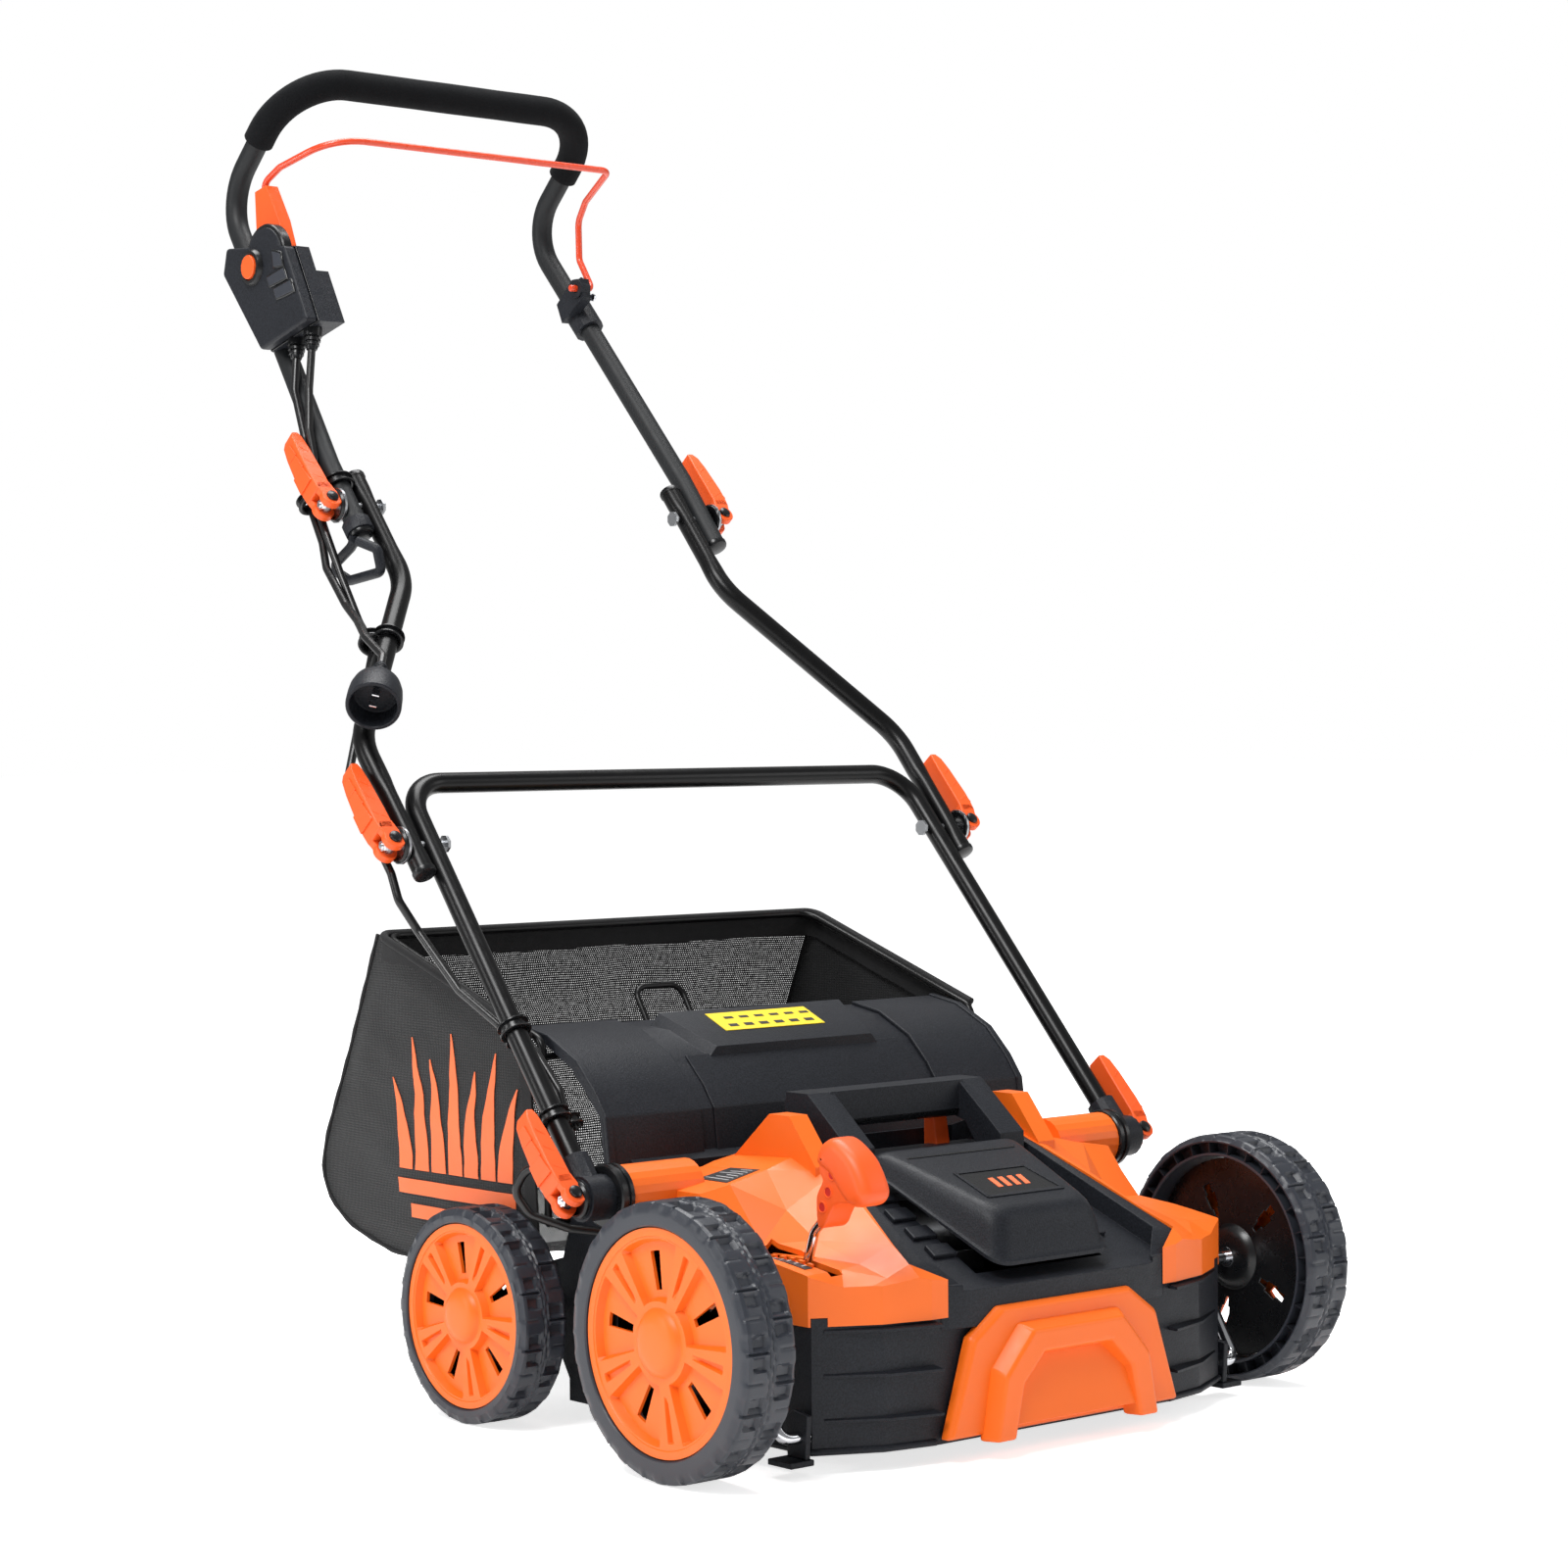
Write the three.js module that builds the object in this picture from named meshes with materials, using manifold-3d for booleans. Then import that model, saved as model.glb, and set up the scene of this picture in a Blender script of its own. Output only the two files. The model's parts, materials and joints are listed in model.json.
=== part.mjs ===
// An electric lawn dethatcher: a wheeled deck with a spring-tine rotor, a folding three-part handle
// with a safety bail and switch, a rear flap and an open mesh bag on a wire frame.
// Millimetres, +Z up, +X to the operator's right, front towards -Y. The machine is modelled with y = 0 at
// the front axle and moved as a whole, so that the origin is at the middle of its footprint.
import * as THREE from "three";
import { mergeVertices } from "three/addons/utils/BufferGeometryUtils.js";
import Module from "manifold-3d";

const wasm = await Module();
wasm.setup();

// ---------- driving dimensions ----------
const GAP = 0.4; // clearance between pieces that touch
const CENTRE_Y = 334; // footprint's middle, behind the front axle

const FRONT_WHEEL = { radius: 100, inner: 267, outer: 315, rim: 82, y: 0, z: 100 };
const REAR_WHEEL = { radius: 83, inner: 246, outer: 290, rim: 71, y: 273, z: 83 };
const WHEEL_SIDES = 28;
const SPINDLE_R = 6;
const AXLE_RUNNING_GAP = 0.5;

const DECK = { half: 213, wall: 4, front: -82, bottom: 14, plate: 112, tailY: 299, riserY: 148 };
const CRANK = { y: -45, z: 28, x: 238, rod: 4.5 }; // pivot line of the front axle
const LEVER_X = 190;

const ROTOR = { y: 110, z: 58, half: 176, disc: 30, core: 12, tineTip: 47.5, shaft: 6, discs: 12 };
const ROD_PITCH_R = 24;
const PULLEY = { x: 186, width: 10, rotor: 24, motor: 15, belt: 2.4 };
const MOTOR = { y: 62, z: 148, radius: 33, left: -62, right: 58, shaft: 5 };

const TUBE_WALL = 1.3;
const LOWER = { pivotX: 279, pivotY: 120, pivotZ: 188, tube: 8.3 };
const MIDDLE = { x: 287, y: 336, z: 443, tube: 8.8 };
const UPPER = { x: 172, y: 562, z: 721, tube: 9.5, outerX: 192.5 };
const FOAM_R = 13.5;
const BAIL = { y: 698, z: 942, x: 186, wire: 3 };

const FLAP = { hingeY: 170, hingeZ: 198, half: 221, skin: 3 };
const BAG = { half: 235, skin: 3, rimY: 459, rimZ: 368 };
const WIRE_R = 3;
const CABLE_R = 3.4;

// ---------- materials ----------
const paint = (color, roughness, metalness = 0) =>
  new THREE.MeshStandardMaterial({ color, roughness, metalness });
const ORANGE = paint(0xf47a30, 0.45);
const BLACK = paint(0x2b2c2f, 0.6);
const GLOSS = paint(0x151517, 0.3, 0.3);
const RUBBER = paint(0x34363a, 0.85);
const STEEL = paint(0xb9bcc0, 0.3, 0.9);
const FOAM = paint(0x17181a, 0.95);
const MESH = paint(0x232427, 0.9);

// ---------- solids ----------
const V = (x, y, z) => new THREE.Vector3(x, y, z);

function solid(geometry) {
  const bare = (geometry.index ? geometry.toNonIndexed() : geometry.clone());
  for (const name of Object.keys(bare.attributes)) if (name !== "position") bare.deleteAttribute(name);
  const merged = mergeVertices(bare, 1e-4);
  return new wasm.Manifold(
    new wasm.Mesh({
      numProp: 3,
      vertProperties: merged.attributes.position.array,
      triVerts: new Uint32Array(merged.index.array),
    }),
  );
}

function geometryOf(manifold) {
  const mesh = manifold.getMesh();
  return new THREE.BufferGeometry()
    .setAttribute("position", new THREE.BufferAttribute(mesh.vertProperties, 3))
    .setIndex(new THREE.BufferAttribute(mesh.triVerts, 1))
    .toNonIndexed();
}

const join = (...parts) => geometryOf(parts.map(solid).reduce((a, b) => a.add(b)));
const cut = (body, ...tools) => geometryOf(tools.map(solid).reduce((a, b) => a.subtract(b), solid(body)));
const meet = (a, b) => geometryOf(solid(a).intersect(solid(b)));
const mirrorX = (geometry) => {
  const turned = geometry.index ? geometry.toNonIndexed() : geometry.clone();
  const at = turned.getAttribute("position");
  for (let i = 0; i < at.count; i += 3) {
    const corners = [0, 2, 1].map((k) => [-at.getX(i + k), at.getY(i + k), at.getZ(i + k)]);
    corners.forEach((p, k) => at.setXYZ(i + k, ...p));
  }
  turned.deleteAttribute("normal");
  turned.deleteAttribute("uv");
  return turned;
};

const box = (x0, x1, y0, y1, z0, z1) =>
  new THREE.BoxGeometry(x1 - x0, y1 - y0, z1 - z0).translate((x0 + x1) / 2, (y0 + y1) / 2, (z0 + z1) / 2);

// A cylinder along X, from x0 to x1, whose lowest side is a flat facet.
const rodX = (radius, x0, x1, y, z, sides = 16) =>
  new THREE.CylinderGeometry(radius, radius, x1 - x0, sides)
    .rotateY(Math.PI / sides)
    .rotateZ(-Math.PI / 2)
    .translate((x0 + x1) / 2, y, z);

// A cylinder between two points.
function rodBetween(from, to, radius, sides = 12) {
  const along = to.clone().sub(from);
  const turn = new THREE.Quaternion().setFromUnitVectors(V(0, 1, 0), along.clone().normalize());
  return new THREE.CylinderGeometry(radius, radius, along.length(), sides)
    .applyQuaternion(turn)
    .translate(...from.clone().add(to).multiplyScalar(0.5).toArray());
}

// An outline of [y, z] pairs, extruded across X from x0 to x1.
function acrossX(outline, x0, x1) {
  const shape = new THREE.Shape(outline.map(([y, z]) => new THREE.Vector2(y, z)));
  const made = new THREE.ExtrudeGeometry(shape, { depth: x1 - x0, bevelEnabled: false });
  return made.applyMatrix4(new THREE.Matrix4().makeBasis(V(0, 1, 0), V(0, 0, 1),
    V(1, 0, 0))).translate(x0, 0, 0);
}

// An outline of [x, y] pairs, extruded upwards from z0 to z1.
function upright(outline, z0, z1) {
  const shape = new THREE.Shape(outline.map(([x, y]) => new THREE.Vector2(x, y)));
  return new THREE.ExtrudeGeometry(shape, { depth: z1 - z0, bevelEnabled: false }).translate(0, 0, z0);
}

// A closed solid through rings of points that all have the same count; the first and last rings are capped.
function loft(rings) {
  const count = rings[0].length;
  const points = [];
  const face = (a, b, c) => points.push(...a.toArray(), ...b.toArray(), ...c.toArray());
  rings.slice(1).forEach((ring, k) => {
    const last = rings[k];
    for (let i = 0; i < count; i++) {
      const j = (i + 1) % count;
      face(last[i], last[j], ring[j]);
      face(last[i], ring[j], ring[i]);
    }
  });
  const first = rings[0];
  const end = rings[rings.length - 1];
  for (let i = 1; i < count - 1; i++) {
    face(first[0], first[i + 1], first[i]);
    face(end[0], end[i], end[i + 1]);
  }
  const made = new THREE.BufferGeometry().setAttribute("position",
    new THREE.Float32BufferAttribute(points, 3));
  return solid(made).volume() < 0 ? flipped(made) : made;
}

// The same faces, turned round.
function flipped(geometry) {
  const at = geometry.getAttribute("position");
  const made = geometry.clone();
  const to = made.getAttribute("position");
  for (let i = 0; i < at.count; i += 3) {
    to.setXYZ(i + 1, at.getX(i + 2), at.getY(i + 2), at.getZ(i + 2));
    to.setXYZ(i + 2, at.getX(i + 1), at.getY(i + 1), at.getZ(i + 1));
  }
  return made;
}

// ---------- routes ----------
// A route through corner points with round bends; ExtrudeGeometry takes one step per listed point.
class Route extends THREE.Curve {
  constructor(points) {
    super();
    this.points = points;
  }
  getPoint(t) {
    const at = t * (this.points.length - 1);
    const i = Math.min(Math.floor(at + 1e-9), this.points.length - 2);
    return this.points[i].clone().lerp(this.points[i + 1], at - i);
  }
  getPointAt(t) {
    return this.getPoint(t);
  }
  getTangentAt(t) {
    const i = Math.round(t * (this.points.length - 1));
    const before = this.points[Math.max(i - 1, 0)];
    const here = this.points[i];
    const after = this.points[Math.min(i + 1, this.points.length - 1)];
    const into = i > 0 ? here.clone().sub(before).normalize() : after.clone().sub(here).normalize();
    const out = i < this.points.length - 1 ? after.clone().sub(here).normalize() : into;
    return into.clone().add(out).normalize();
  }
}

function rounded(corners, radius, steps) {
  const made = [corners[0]];
  corners.slice(1, -1).forEach((corner, k) => {
    const back = corners[k].clone().sub(corner).normalize();
    const ahead = corners[k + 2].clone().sub(corner).normalize();
    const half = back.angleTo(ahead) / 2;
    const reach = radius / Math.tan(half);
    const inwards = back.clone().add(ahead).normalize();
    const centre = corner.clone().addScaledVector(inwards, radius / Math.sin(half));
    const from = corner.clone().addScaledVector(back, reach).sub(centre);
    const to = corner.clone().addScaledVector(ahead, reach).sub(centre);
    const axis = from.clone().cross(to).normalize();
    for (let s = 0; s <= steps; s++)
      made.push(from.clone().applyAxisAngle(axis, (from.angleTo(to) * s) / steps).add(centre));
  });
  return [...made, corners[corners.length - 1]];
}

function polygon(radius, sides) {
  return Array.from({ length: sides }, (_, i) => {
    const a = ((i + 0.5) * 2 * Math.PI) / sides;
    return new THREE.Vector2(radius * Math.cos(a), radius * Math.sin(a));
  });
}

function tube(points, radius, hollow = 0, sides = 12) {
  const shape = new THREE.Shape(polygon(radius, sides));
  if (hollow) shape.holes.push(new THREE.Path(polygon(hollow, sides)));
  return new THREE.ExtrudeGeometry(shape, { steps: points.length - 1, extrudePath: new Route(points) });
}

// ---------- nodes ----------
const machine = new THREE.Group();
machine.position.y = -CENTRE_Y;

function node(name, geometry, material) {
  const mesh = new THREE.Mesh(geometry, material);
  mesh.name = name;
  machine.add(mesh);
}

// Two pieces that mirror each other; the geometry given is the right one's.
function pair(name, geometry, material) {
  node(name + "_right", geometry, material);
  node(name + "_left", mirrorX(geometry), material);
}

// ---------- deck ----------
const SHELL_END = DECK.riserY - GAP;
const DECK_PLAN = [[122, DECK.front], [165, -74], [DECK.half, -50], [DECK.half, 235]];
const both = (half) => [...half, ...half.toReversed().map(([x, y]) => [-x, y])];
const COVER_PLAN = [[92, -89], [112, -85], [138, -72], [98, 75], [98, SHELL_END]];
const RIM_Z = [[-90, 128], [-84, 129], [-72, 144], [75, 218], [110, 218], [SHELL_END, 206]];

function deckHousing() {
  const inset = DECK.wall;
  const innerPlan = [[120, DECK.front + inset], [163, -70], [DECK.half - inset, -47],
    [DECK.half - inset, 240]];
  const tray = cut(
    upright(both(DECK_PLAN), DECK.bottom, DECK.plate),
    upright(both(innerPlan), DECK.bottom - 1, DECK.plate - inset),
    box(-DECK.half + inset, DECK.half - inset, DECK.riserY + inset, 240, DECK.bottom - 1, DECK.plate + 1),
  );
  const side = [
    [100, 20], [DECK.riserY, DECK.plate - 2], [DECK.riserY, 190], [218, 196], [242, 124],
    [DECK.tailY, 108], [DECK.tailY, 58], [252, 58], [228, 20],
  ];
  const sides = [-DECK.half, DECK.half - inset].map((x) => acrossX(side, x, x + inset));
  const inner = DECK.half - inset + 1;
  const ramp = acrossX([[168, 14], [172, 14], [240, 122], [235, 124]], -inner, inner);
  const riser = acrossX(
    [[DECK.riserY, 108], [DECK.riserY + 4, 108], [DECK.riserY + 4, 186], [162, 186], [162, 190],
      [DECK.riserY, 190]],
    -inner,
    inner,
  );
  const beltSlot = box(178, 204, 50, 122, DECK.plate - 5, DECK.plate + 1);
  const leverSlot = (x) => box(x - 8, x + 8, -60, 50, DECK.plate - 5, DECK.plate + 1);
  const bearing = rodX(ROTOR.shaft + 2, -230, 230, ROTOR.y, ROTOR.z, 16);
  const crank = rodX(CRANK.rod + 0.8, -230, 230, CRANK.y, CRANK.z, 12);
  const axle = rodX(SPINDLE_R + GAP, -230, 230, REAR_WHEEL.y, REAR_WHEEL.z, 16);
  return cut(join(tray, ...sides, ramp, riser), beltSlot, leverSlot(-LEVER_X), bearing, crank, axle);
}

function coverBlock(lift) {
  const z = RIM_Z.map(([y, height]) => [y, height + lift]);
  return acrossX([[-90, 60], ...z, [SHELL_END, 60]], -260, 260);
}

function topCover() {
  const floor = RIM_Z.map(([y, z]) => [y, z - (y > -80 ? 16 : 4)]);
  const well = upright(both([[96, -100], [100, -84], [122, -66], [93, 70], [93, 128]]), 100, 260);
  const wellFloor = acrossX([...floor, [SHELL_END, 300], [-90, 300]], -200, 200);
  const outer = meet(upright(both(COVER_PLAN), 97, 260), coverBlock(0));
  const hollowPlan = both([[108, -77], [131, -68], [93, 75], [93, SHELL_END - 4]]);
  const hollow = meet(upright(hollowPlan, 90, 260), coverBlock(-22));
  const overPlate = upright(both([[150, DECK.front - GAP], [150, 160]]), 90, DECK.plate + GAP);
  const motorMouth = box(-66, 66, -66, 30, 100, 260);
  const shaftWay = rodX(MOTOR.shaft + 4, 60, 150, MOTOR.y, MOTOR.z, 10);
  return cut(outer, meet(well, wellFloor), hollow, overPlate, motorMouth, shaftWay);
}

function sidePanel() {
  // Heights of the panel's upper face at five places across, for stations along Y.
  const stations = [
    [-92, [80, 126], [138, 130], [160, 124], [200, 116], [240, 112]],
    [-72, [80, 142], [138, 146], [160, 138], [200, 126], [240, 118]],
    [-48, [80, 156], [133, 157], [165, 146], [182, 144], [240, 142]],
    [0, [80, 182], [122, 182], [164, 158], [182, 150], [240, 149]],
    [38, [80, 201], [112, 200], [160, 176], [184, 153], [240, 152]],
    [72, [80, 216], [108, 214], [150, 202], [186, 194], [240, 186]],
    [112, [80, 216], [108, 212], [150, 200], [186, 194], [240, 186]],
    [160, [80, 206], [108, 204], [150, 197], [186, 192], [240, 186]],
  ];
  const below = (drop) => loft(stations.map(([y, ...top]) => [
    V(240, y, 50), V(80, y, 50), ...top.map(([x, z]) => V(x, y, z - drop)),
  ]));
  const edge = [[96, -95], [112 + GAP, -85 - GAP], [138 + GAP, -72], [98 + GAP, 75], [98 + GAP, SHELL_END]];
  const outline = (inset) => [
    ...edge.slice(1).map(([x, y]) => [x + inset, y + (y > 100 ? -inset : 0)]),
    [DECK.half + 2 - inset, SHELL_END - inset], [DECK.half + 2 - inset, -49], [167, -75.5 + inset],
    [128, DECK.front - 3 + inset],
  ];
  const skirt = DECK.plate - 6;
  const fin = acrossX([[SHELL_END - 2, 180], [SHELL_END - 2, 199], [97, 240], [74, 240], [44, 204],
    [44, 180]], 108, 126);
  const shell = join(meet(upright(outline(0), skirt, 260), below(0)), fin);
  const hollow = meet(upright(outline(4), skirt - 1, 260), below(4));
  const seat = upright([[90, DECK.front - GAP], [122, DECK.front - GAP], [165.5, -74.6],
    [DECK.half + GAP, -50.4],
    [DECK.half + GAP, 180], [90, 180]], skirt - 2, DECK.plate + GAP);
  const bossTop = rodX(22, 188, 255, LOWER.pivotY, LOWER.pivotZ, 24);
  const bore = rodX(4, 180, 260, LOWER.pivotY, LOWER.pivotZ, 12);
  const shaftWay = rodX(MOTOR.shaft + 4, 90, 130, MOTOR.y, MOTOR.z, 10);
  return cut(join(cut(shell, hollow, seat), bossTop), bore, shaftWay);
}

// The height lever's slot, with the sunken strip for its scale.
const leverSlots = [
  box(LEVER_X - 5.5, LEVER_X + 5.5, -52, 36, 120, 170),
  box(LEVER_X - 12, DECK.half - 6, -46, 34, 148, 170),
];

function bumper() {
  const step = (back, front, yBack, yFront) => {
    const ring = (half, y) => both(half).map(([x, z]) => V(x, y, z));
    return loft([ring(back, yBack), ring(front, yFront)]);
  };
  const backY = DECK.front - 7.5;
  const base = step([[120, 18], [97, 90], [69, 110]], [[118, 20], [95, 88], [67, 106]], backY, backY - 5);
  const arch = step([[86, 15], [77, 66], [50, 94]], [[80, 16], [71, 60], [45, 86]], backY - 4, backY - 14);
  const block = step([[60, 15], [57, 52], [34, 76]], [[54, 24], [50, 46], [30, 68]],
    backY - 13, backY - 21);
  const middleNotch = box(-44, 44, backY - 40, backY + 1, 10, 23);
  return cut(join(base, arch, block), middleNotch);
}

function hood() {
  const ring = (rows) => rows.map((p) => V(...p));
  const outer = loft([
    ring([[57, -80, 138], [78, 43, 202], [-78, 43, 202], [-57, -80, 138]]),
    ring([[50, -72, 176], [69, 40, 214], [-69, 40, 214], [-50, -72, 176]]),
  ]);
  const skirt = loft([
    ring([[63, -62, 126], [63, 26, 126], [-63, 26, 126], [-63, -62, 126]]),
    ring([[63, -62, 160], [63, 26, 195], [-63, 26, 195], [-63, -62, 160]]),
  ]);
  const inner = loft([
    ring([[60, -58, 120], [60, 23, 120], [-60, 23, 120], [-60, -58, 120]]),
    ring([[46, -58, 172], [58, 23, 203], [-58, 23, 203], [-46, -58, 172]]),
  ]);
  const seat = meet(box(-120, 120, -100, 60, 60, 230), acrossX([[-120, 60], [-90, 128.4], [-84, 129.4],
    [-72, 131.4], [75, 205.4], [75, 60]], -120, 120));
  const frame = cut(outer, cut(seat, box(-63, 63, -62, 26, 50, 240)));
  return cut(join(frame, skirt), inner);
}

function carryHandle() {
  const arm = [[44, 187], [44, 214], [92, 253], [117, 253], [119, 240], [108, 227], [84, 221], [70, 201]];
  const bar = acrossX([[90, 230], [90, 253], [116, 253], [119, 240], [112, 228]], -70, 70);
  const arms = [acrossX(arm, 66, 92), acrossX(arm, -92, -66)];
  return join(bar, ...arms);
}

node("deck_housing", deckHousing(), BLACK);
node("top_cover", topCover(), BLACK);
node("side_panel_right", sidePanel(), ORANGE);
node("side_panel_left", mirrorX(cut(sidePanel(), ...leverSlots)), ORANGE);
node("front_bumper", bumper(), ORANGE);
node("motor_hood", hood(), BLACK);
node("carry_handle", carryHandle(), BLACK);

// ---------- motor, belt and rotor ----------
const pulleyX = [PULLEY.x, PULLEY.x + PULLEY.width];

function belt() {
  const run = (extra) => {
    const points = [];
    const wheels = [[ROTOR.y, ROTOR.z, PULLEY.rotor], [MOTOR.y, MOTOR.z, PULLEY.motor]];
    const lean = Math.atan2(MOTOR.z - ROTOR.z, MOTOR.y - ROTOR.y);
    wheels.forEach(([y, z, radius], k) => {
      const reach = (radius + extra) / Math.cos(Math.PI / 16); // the arc's chords stay clear of the pulley
      for (let i = 0; i <= 8; i++) {
        const a = lean + (k ? -1 : 1) * Math.PI / 2 + (Math.PI * i) / 8;
        points.push([y + reach * Math.cos(a), z + reach * Math.sin(a)]);
      }
    });
    return points;
  };
  const inset = 2;
  return cut(
    acrossX(run(GAP + PULLEY.belt), pulleyX[0] + inset, pulleyX[1] - inset),
    acrossX(run(GAP), pulleyX[0], pulleyX[1]),
  );
}

function rotorCore() {
  const shaft = rodX(ROTOR.shaft, -208, 208, ROTOR.y, ROTOR.z, 12);
  const core = rodX(ROTOR.core, -ROTOR.half, ROTOR.half, ROTOR.y, ROTOR.z, 6);
  const outline = [];
  const sides = 12;
  for (let i = 0; i < sides; i++) {
    const a = ((i + 0.5) * 2 * Math.PI) / sides;
    outline.push([ROTOR.disc * Math.cos(a), ROTOR.disc * Math.sin(a)]);
  }
  const notch = (sign) => box(-400, 400, sign > 0 ? ROD_PITCH_R - 3.2 : -60,
    sign > 0 ? 60 : 3.2 - ROD_PITCH_R, -3.2, 3.2);
  const pitch = (2 * ROTOR.half - 8) / (ROTOR.discs - 1);
  const discs = Array.from({ length: ROTOR.discs }, (_, i) => {
    const x = -ROTOR.half + i * pitch;
    return acrossX(outline, x, x + 8);
  });
  const reel = cut(discs.map(solid).map(geometryOf).reduce((a, b) => join(a, b)), notch(1), notch(-1));
  return join(shaft, core, reel.translate(0, ROTOR.y, ROTOR.z));
}

// A rod with sprung tines; side is +1 for the rod behind the shaft and -1 for the one before it.
function tineRod(side, first) {
  const y = ROTOR.y + side * ROD_PITCH_R;
  const rod = rodX(2.6, -ROTOR.half + 1, ROTOR.half - 1, y, ROTOR.z, 6);
  const tines = [];
  const pitch = (2 * ROTOR.half - 8) / (ROTOR.discs - 1);
  for (let i = first; i < ROTOR.discs - 1; i += 2) {
    const x = -ROTOR.half + (i + 0.5) * pitch + 4;
    for (const leg of [-6, 6]) {
      const tip = side * (ROTOR.tineTip - ROD_PITCH_R);
      const outline = [[-side * 2, -2.4], [tip, -4.5], [tip, -2.4], [-side * 2, 2.4]];
      const drawn = side > 0 ? outline : outline.toReversed();
      tines.push(acrossX(drawn, x + leg - 1.1, x + leg + 1.1).translate(0, y, ROTOR.z));
    }
  }
  return tines.reduce((a, b) => join(a, b), rod);
}

function bearing() {
  return cut(rodX(19, 200, DECK.half - DECK.wall - GAP, ROTOR.y, ROTOR.z, 16),
    rodX(ROTOR.shaft + 0.3, 190, 230, ROTOR.y, ROTOR.z, 12));
}

function motorBody() {
  const can = rodX(MOTOR.radius, MOTOR.left + 10, MOTOR.right - 8, MOTOR.y, MOTOR.z, 20);
  const nose = rodX(14, MOTOR.left, MOTOR.right, MOTOR.y, MOTOR.z, 12);
  const foot = box(-40, 40, MOTOR.y - 26, MOTOR.y + 26, DECK.plate + GAP, MOTOR.z - 20);
  const bore = rodX(MOTOR.shaft + 0.3, 10, 80, MOTOR.y, MOTOR.z, 12);
  return cut(join(can, nose, foot), bore);
}

const pulleyOn = (shaftR, x0, x1, radius, y, z) =>
  join(rodX(shaftR, x0, x1, y, z, 12), rodX(radius, ...pulleyX, y, z, 20));

node("electric_motor", motorBody(), STEEL);
node("motor_pulley", pulleyOn(MOTOR.shaft, 14, 199, PULLEY.motor, MOTOR.y, MOTOR.z), STEEL);
node("drive_belt", belt(), RUBBER);
node("rotor_core", rotorCore(), BLACK);
node("tine_rod_rear", tineRod(1, 0), STEEL);
node("tine_rod_front", tineRod(-1, 1), STEEL);
node("rotor_pulley", cut(rodX(PULLEY.rotor, ...pulleyX, ROTOR.y, ROTOR.z, 20),
  rodX(ROTOR.shaft + 0.3, 180, 200, ROTOR.y, ROTOR.z, 12)), STEEL);
pair("rotor_bearing", bearing(), STEEL);

// ---------- axles and wheels ----------
function frontAxle() {
  const wheelAt = V(CRANK.x, FRONT_WHEEL.y, FRONT_WHEEL.z);
  const half = (s) => [
    V(s * (FRONT_WHEEL.outer - 10), wheelAt.y, wheelAt.z),
    V(s * wheelAt.x, wheelAt.y, wheelAt.z),
    V(s * CRANK.x, CRANK.y, CRANK.z),
  ];
  const route = rounded([...half(-1), ...half(1).toReversed()], 9, 3);
  const lever = rounded([V(-LEVER_X, CRANK.y, CRANK.z), V(-LEVER_X, -19, 148), V(-LEVER_X, -43, 180)],
    20, 3);
  return join(tube(route, CRANK.rod, 0, 10), tube(lever, CRANK.rod - 0.8, 0, 8));
}

function leverKnob() {
  const side = [
    [-31, 172], [-25, 205], [-34, 222], [-38, 236], [-50, 240], [-72, 234], [-92, 222], [-104, 206],
    [-100, 197], [-88, 200], [-68, 196], [-55, 176], [-48, 166], [-38, 165],
  ];
  const socket = rodBetween(V(-LEVER_X, -30, 163), V(-LEVER_X, -44.5, 182), 4.6, 8);
  return cut(acrossX(side, -LEVER_X - 12, -LEVER_X + 12), socket);
}

// Lathe profiles are [radius, x] pairs; the lathe's axis is turned from Y to X.
function lathe(profile, wheel) {
  const points = [...profile, profile[0]].map(([r, x]) => new THREE.Vector2(r, x));
  return new THREE.LatheGeometry(points, WHEEL_SIDES)
    .rotateY(Math.PI / WHEEL_SIDES)
    .rotateZ(-Math.PI / 2)
    .translate(0, wheel.y, wheel.z);
}

function tyre(wheel) {
  const tread = wheel.radius / Math.cos(Math.PI / WHEEL_SIDES); // flats, not corners, reach the radius
  const { rim, inner, outer } = wheel;
  return lathe([[rim, inner], [tread - 3, inner], [tread, inner + 4], [tread, outer - 5],
    [tread - 3, outer],
    [rim, outer]], wheel);
}

function rim(wheel, bore) {
  const edge = wheel.rim - GAP;
  const { inner, outer } = wheel;
  const ring = lathe([[bore, inner - 8], [15, inner - 8], [15, outer - 14], [edge - 6, outer - 14],
    [edge - 6, inner + 2], [edge, inner + 2], [edge, outer - 1], [edge - 6, outer - 1],
      [edge - 8, outer - 8],
    [22, outer - 8], [17, outer - 2], [bore, outer - 2]], wheel);
  return join(ring, rodX(bore + 2, outer - 6, outer, wheel.y, wheel.z, 16));
}

node("front_axle", frontAxle(), STEEL);
node("height_knob", leverKnob(), ORANGE);
node("rear_axle", rodX(SPINDLE_R, 12 - REAR_WHEEL.outer, REAR_WHEEL.outer - 12, REAR_WHEEL.y,
  REAR_WHEEL.z, 12), STEEL);
pair("front_tyre", tyre(FRONT_WHEEL), RUBBER);
pair("front_rim", rim(FRONT_WHEEL, CRANK.rod + AXLE_RUNNING_GAP), ORANGE);
pair("rear_tyre", tyre(REAR_WHEEL), RUBBER);
pair("rear_rim", rim(REAR_WHEEL, SPINDLE_R + AXLE_RUNNING_GAP), ORANGE);

// ---------- folding handle ----------
const hollowOf = (radius) => radius - TUBE_WALL;
const UP_SLOPE = V(0, MIDDLE.y - LOWER.pivotY, MIDDLE.z - LOWER.pivotZ).normalize();

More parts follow.
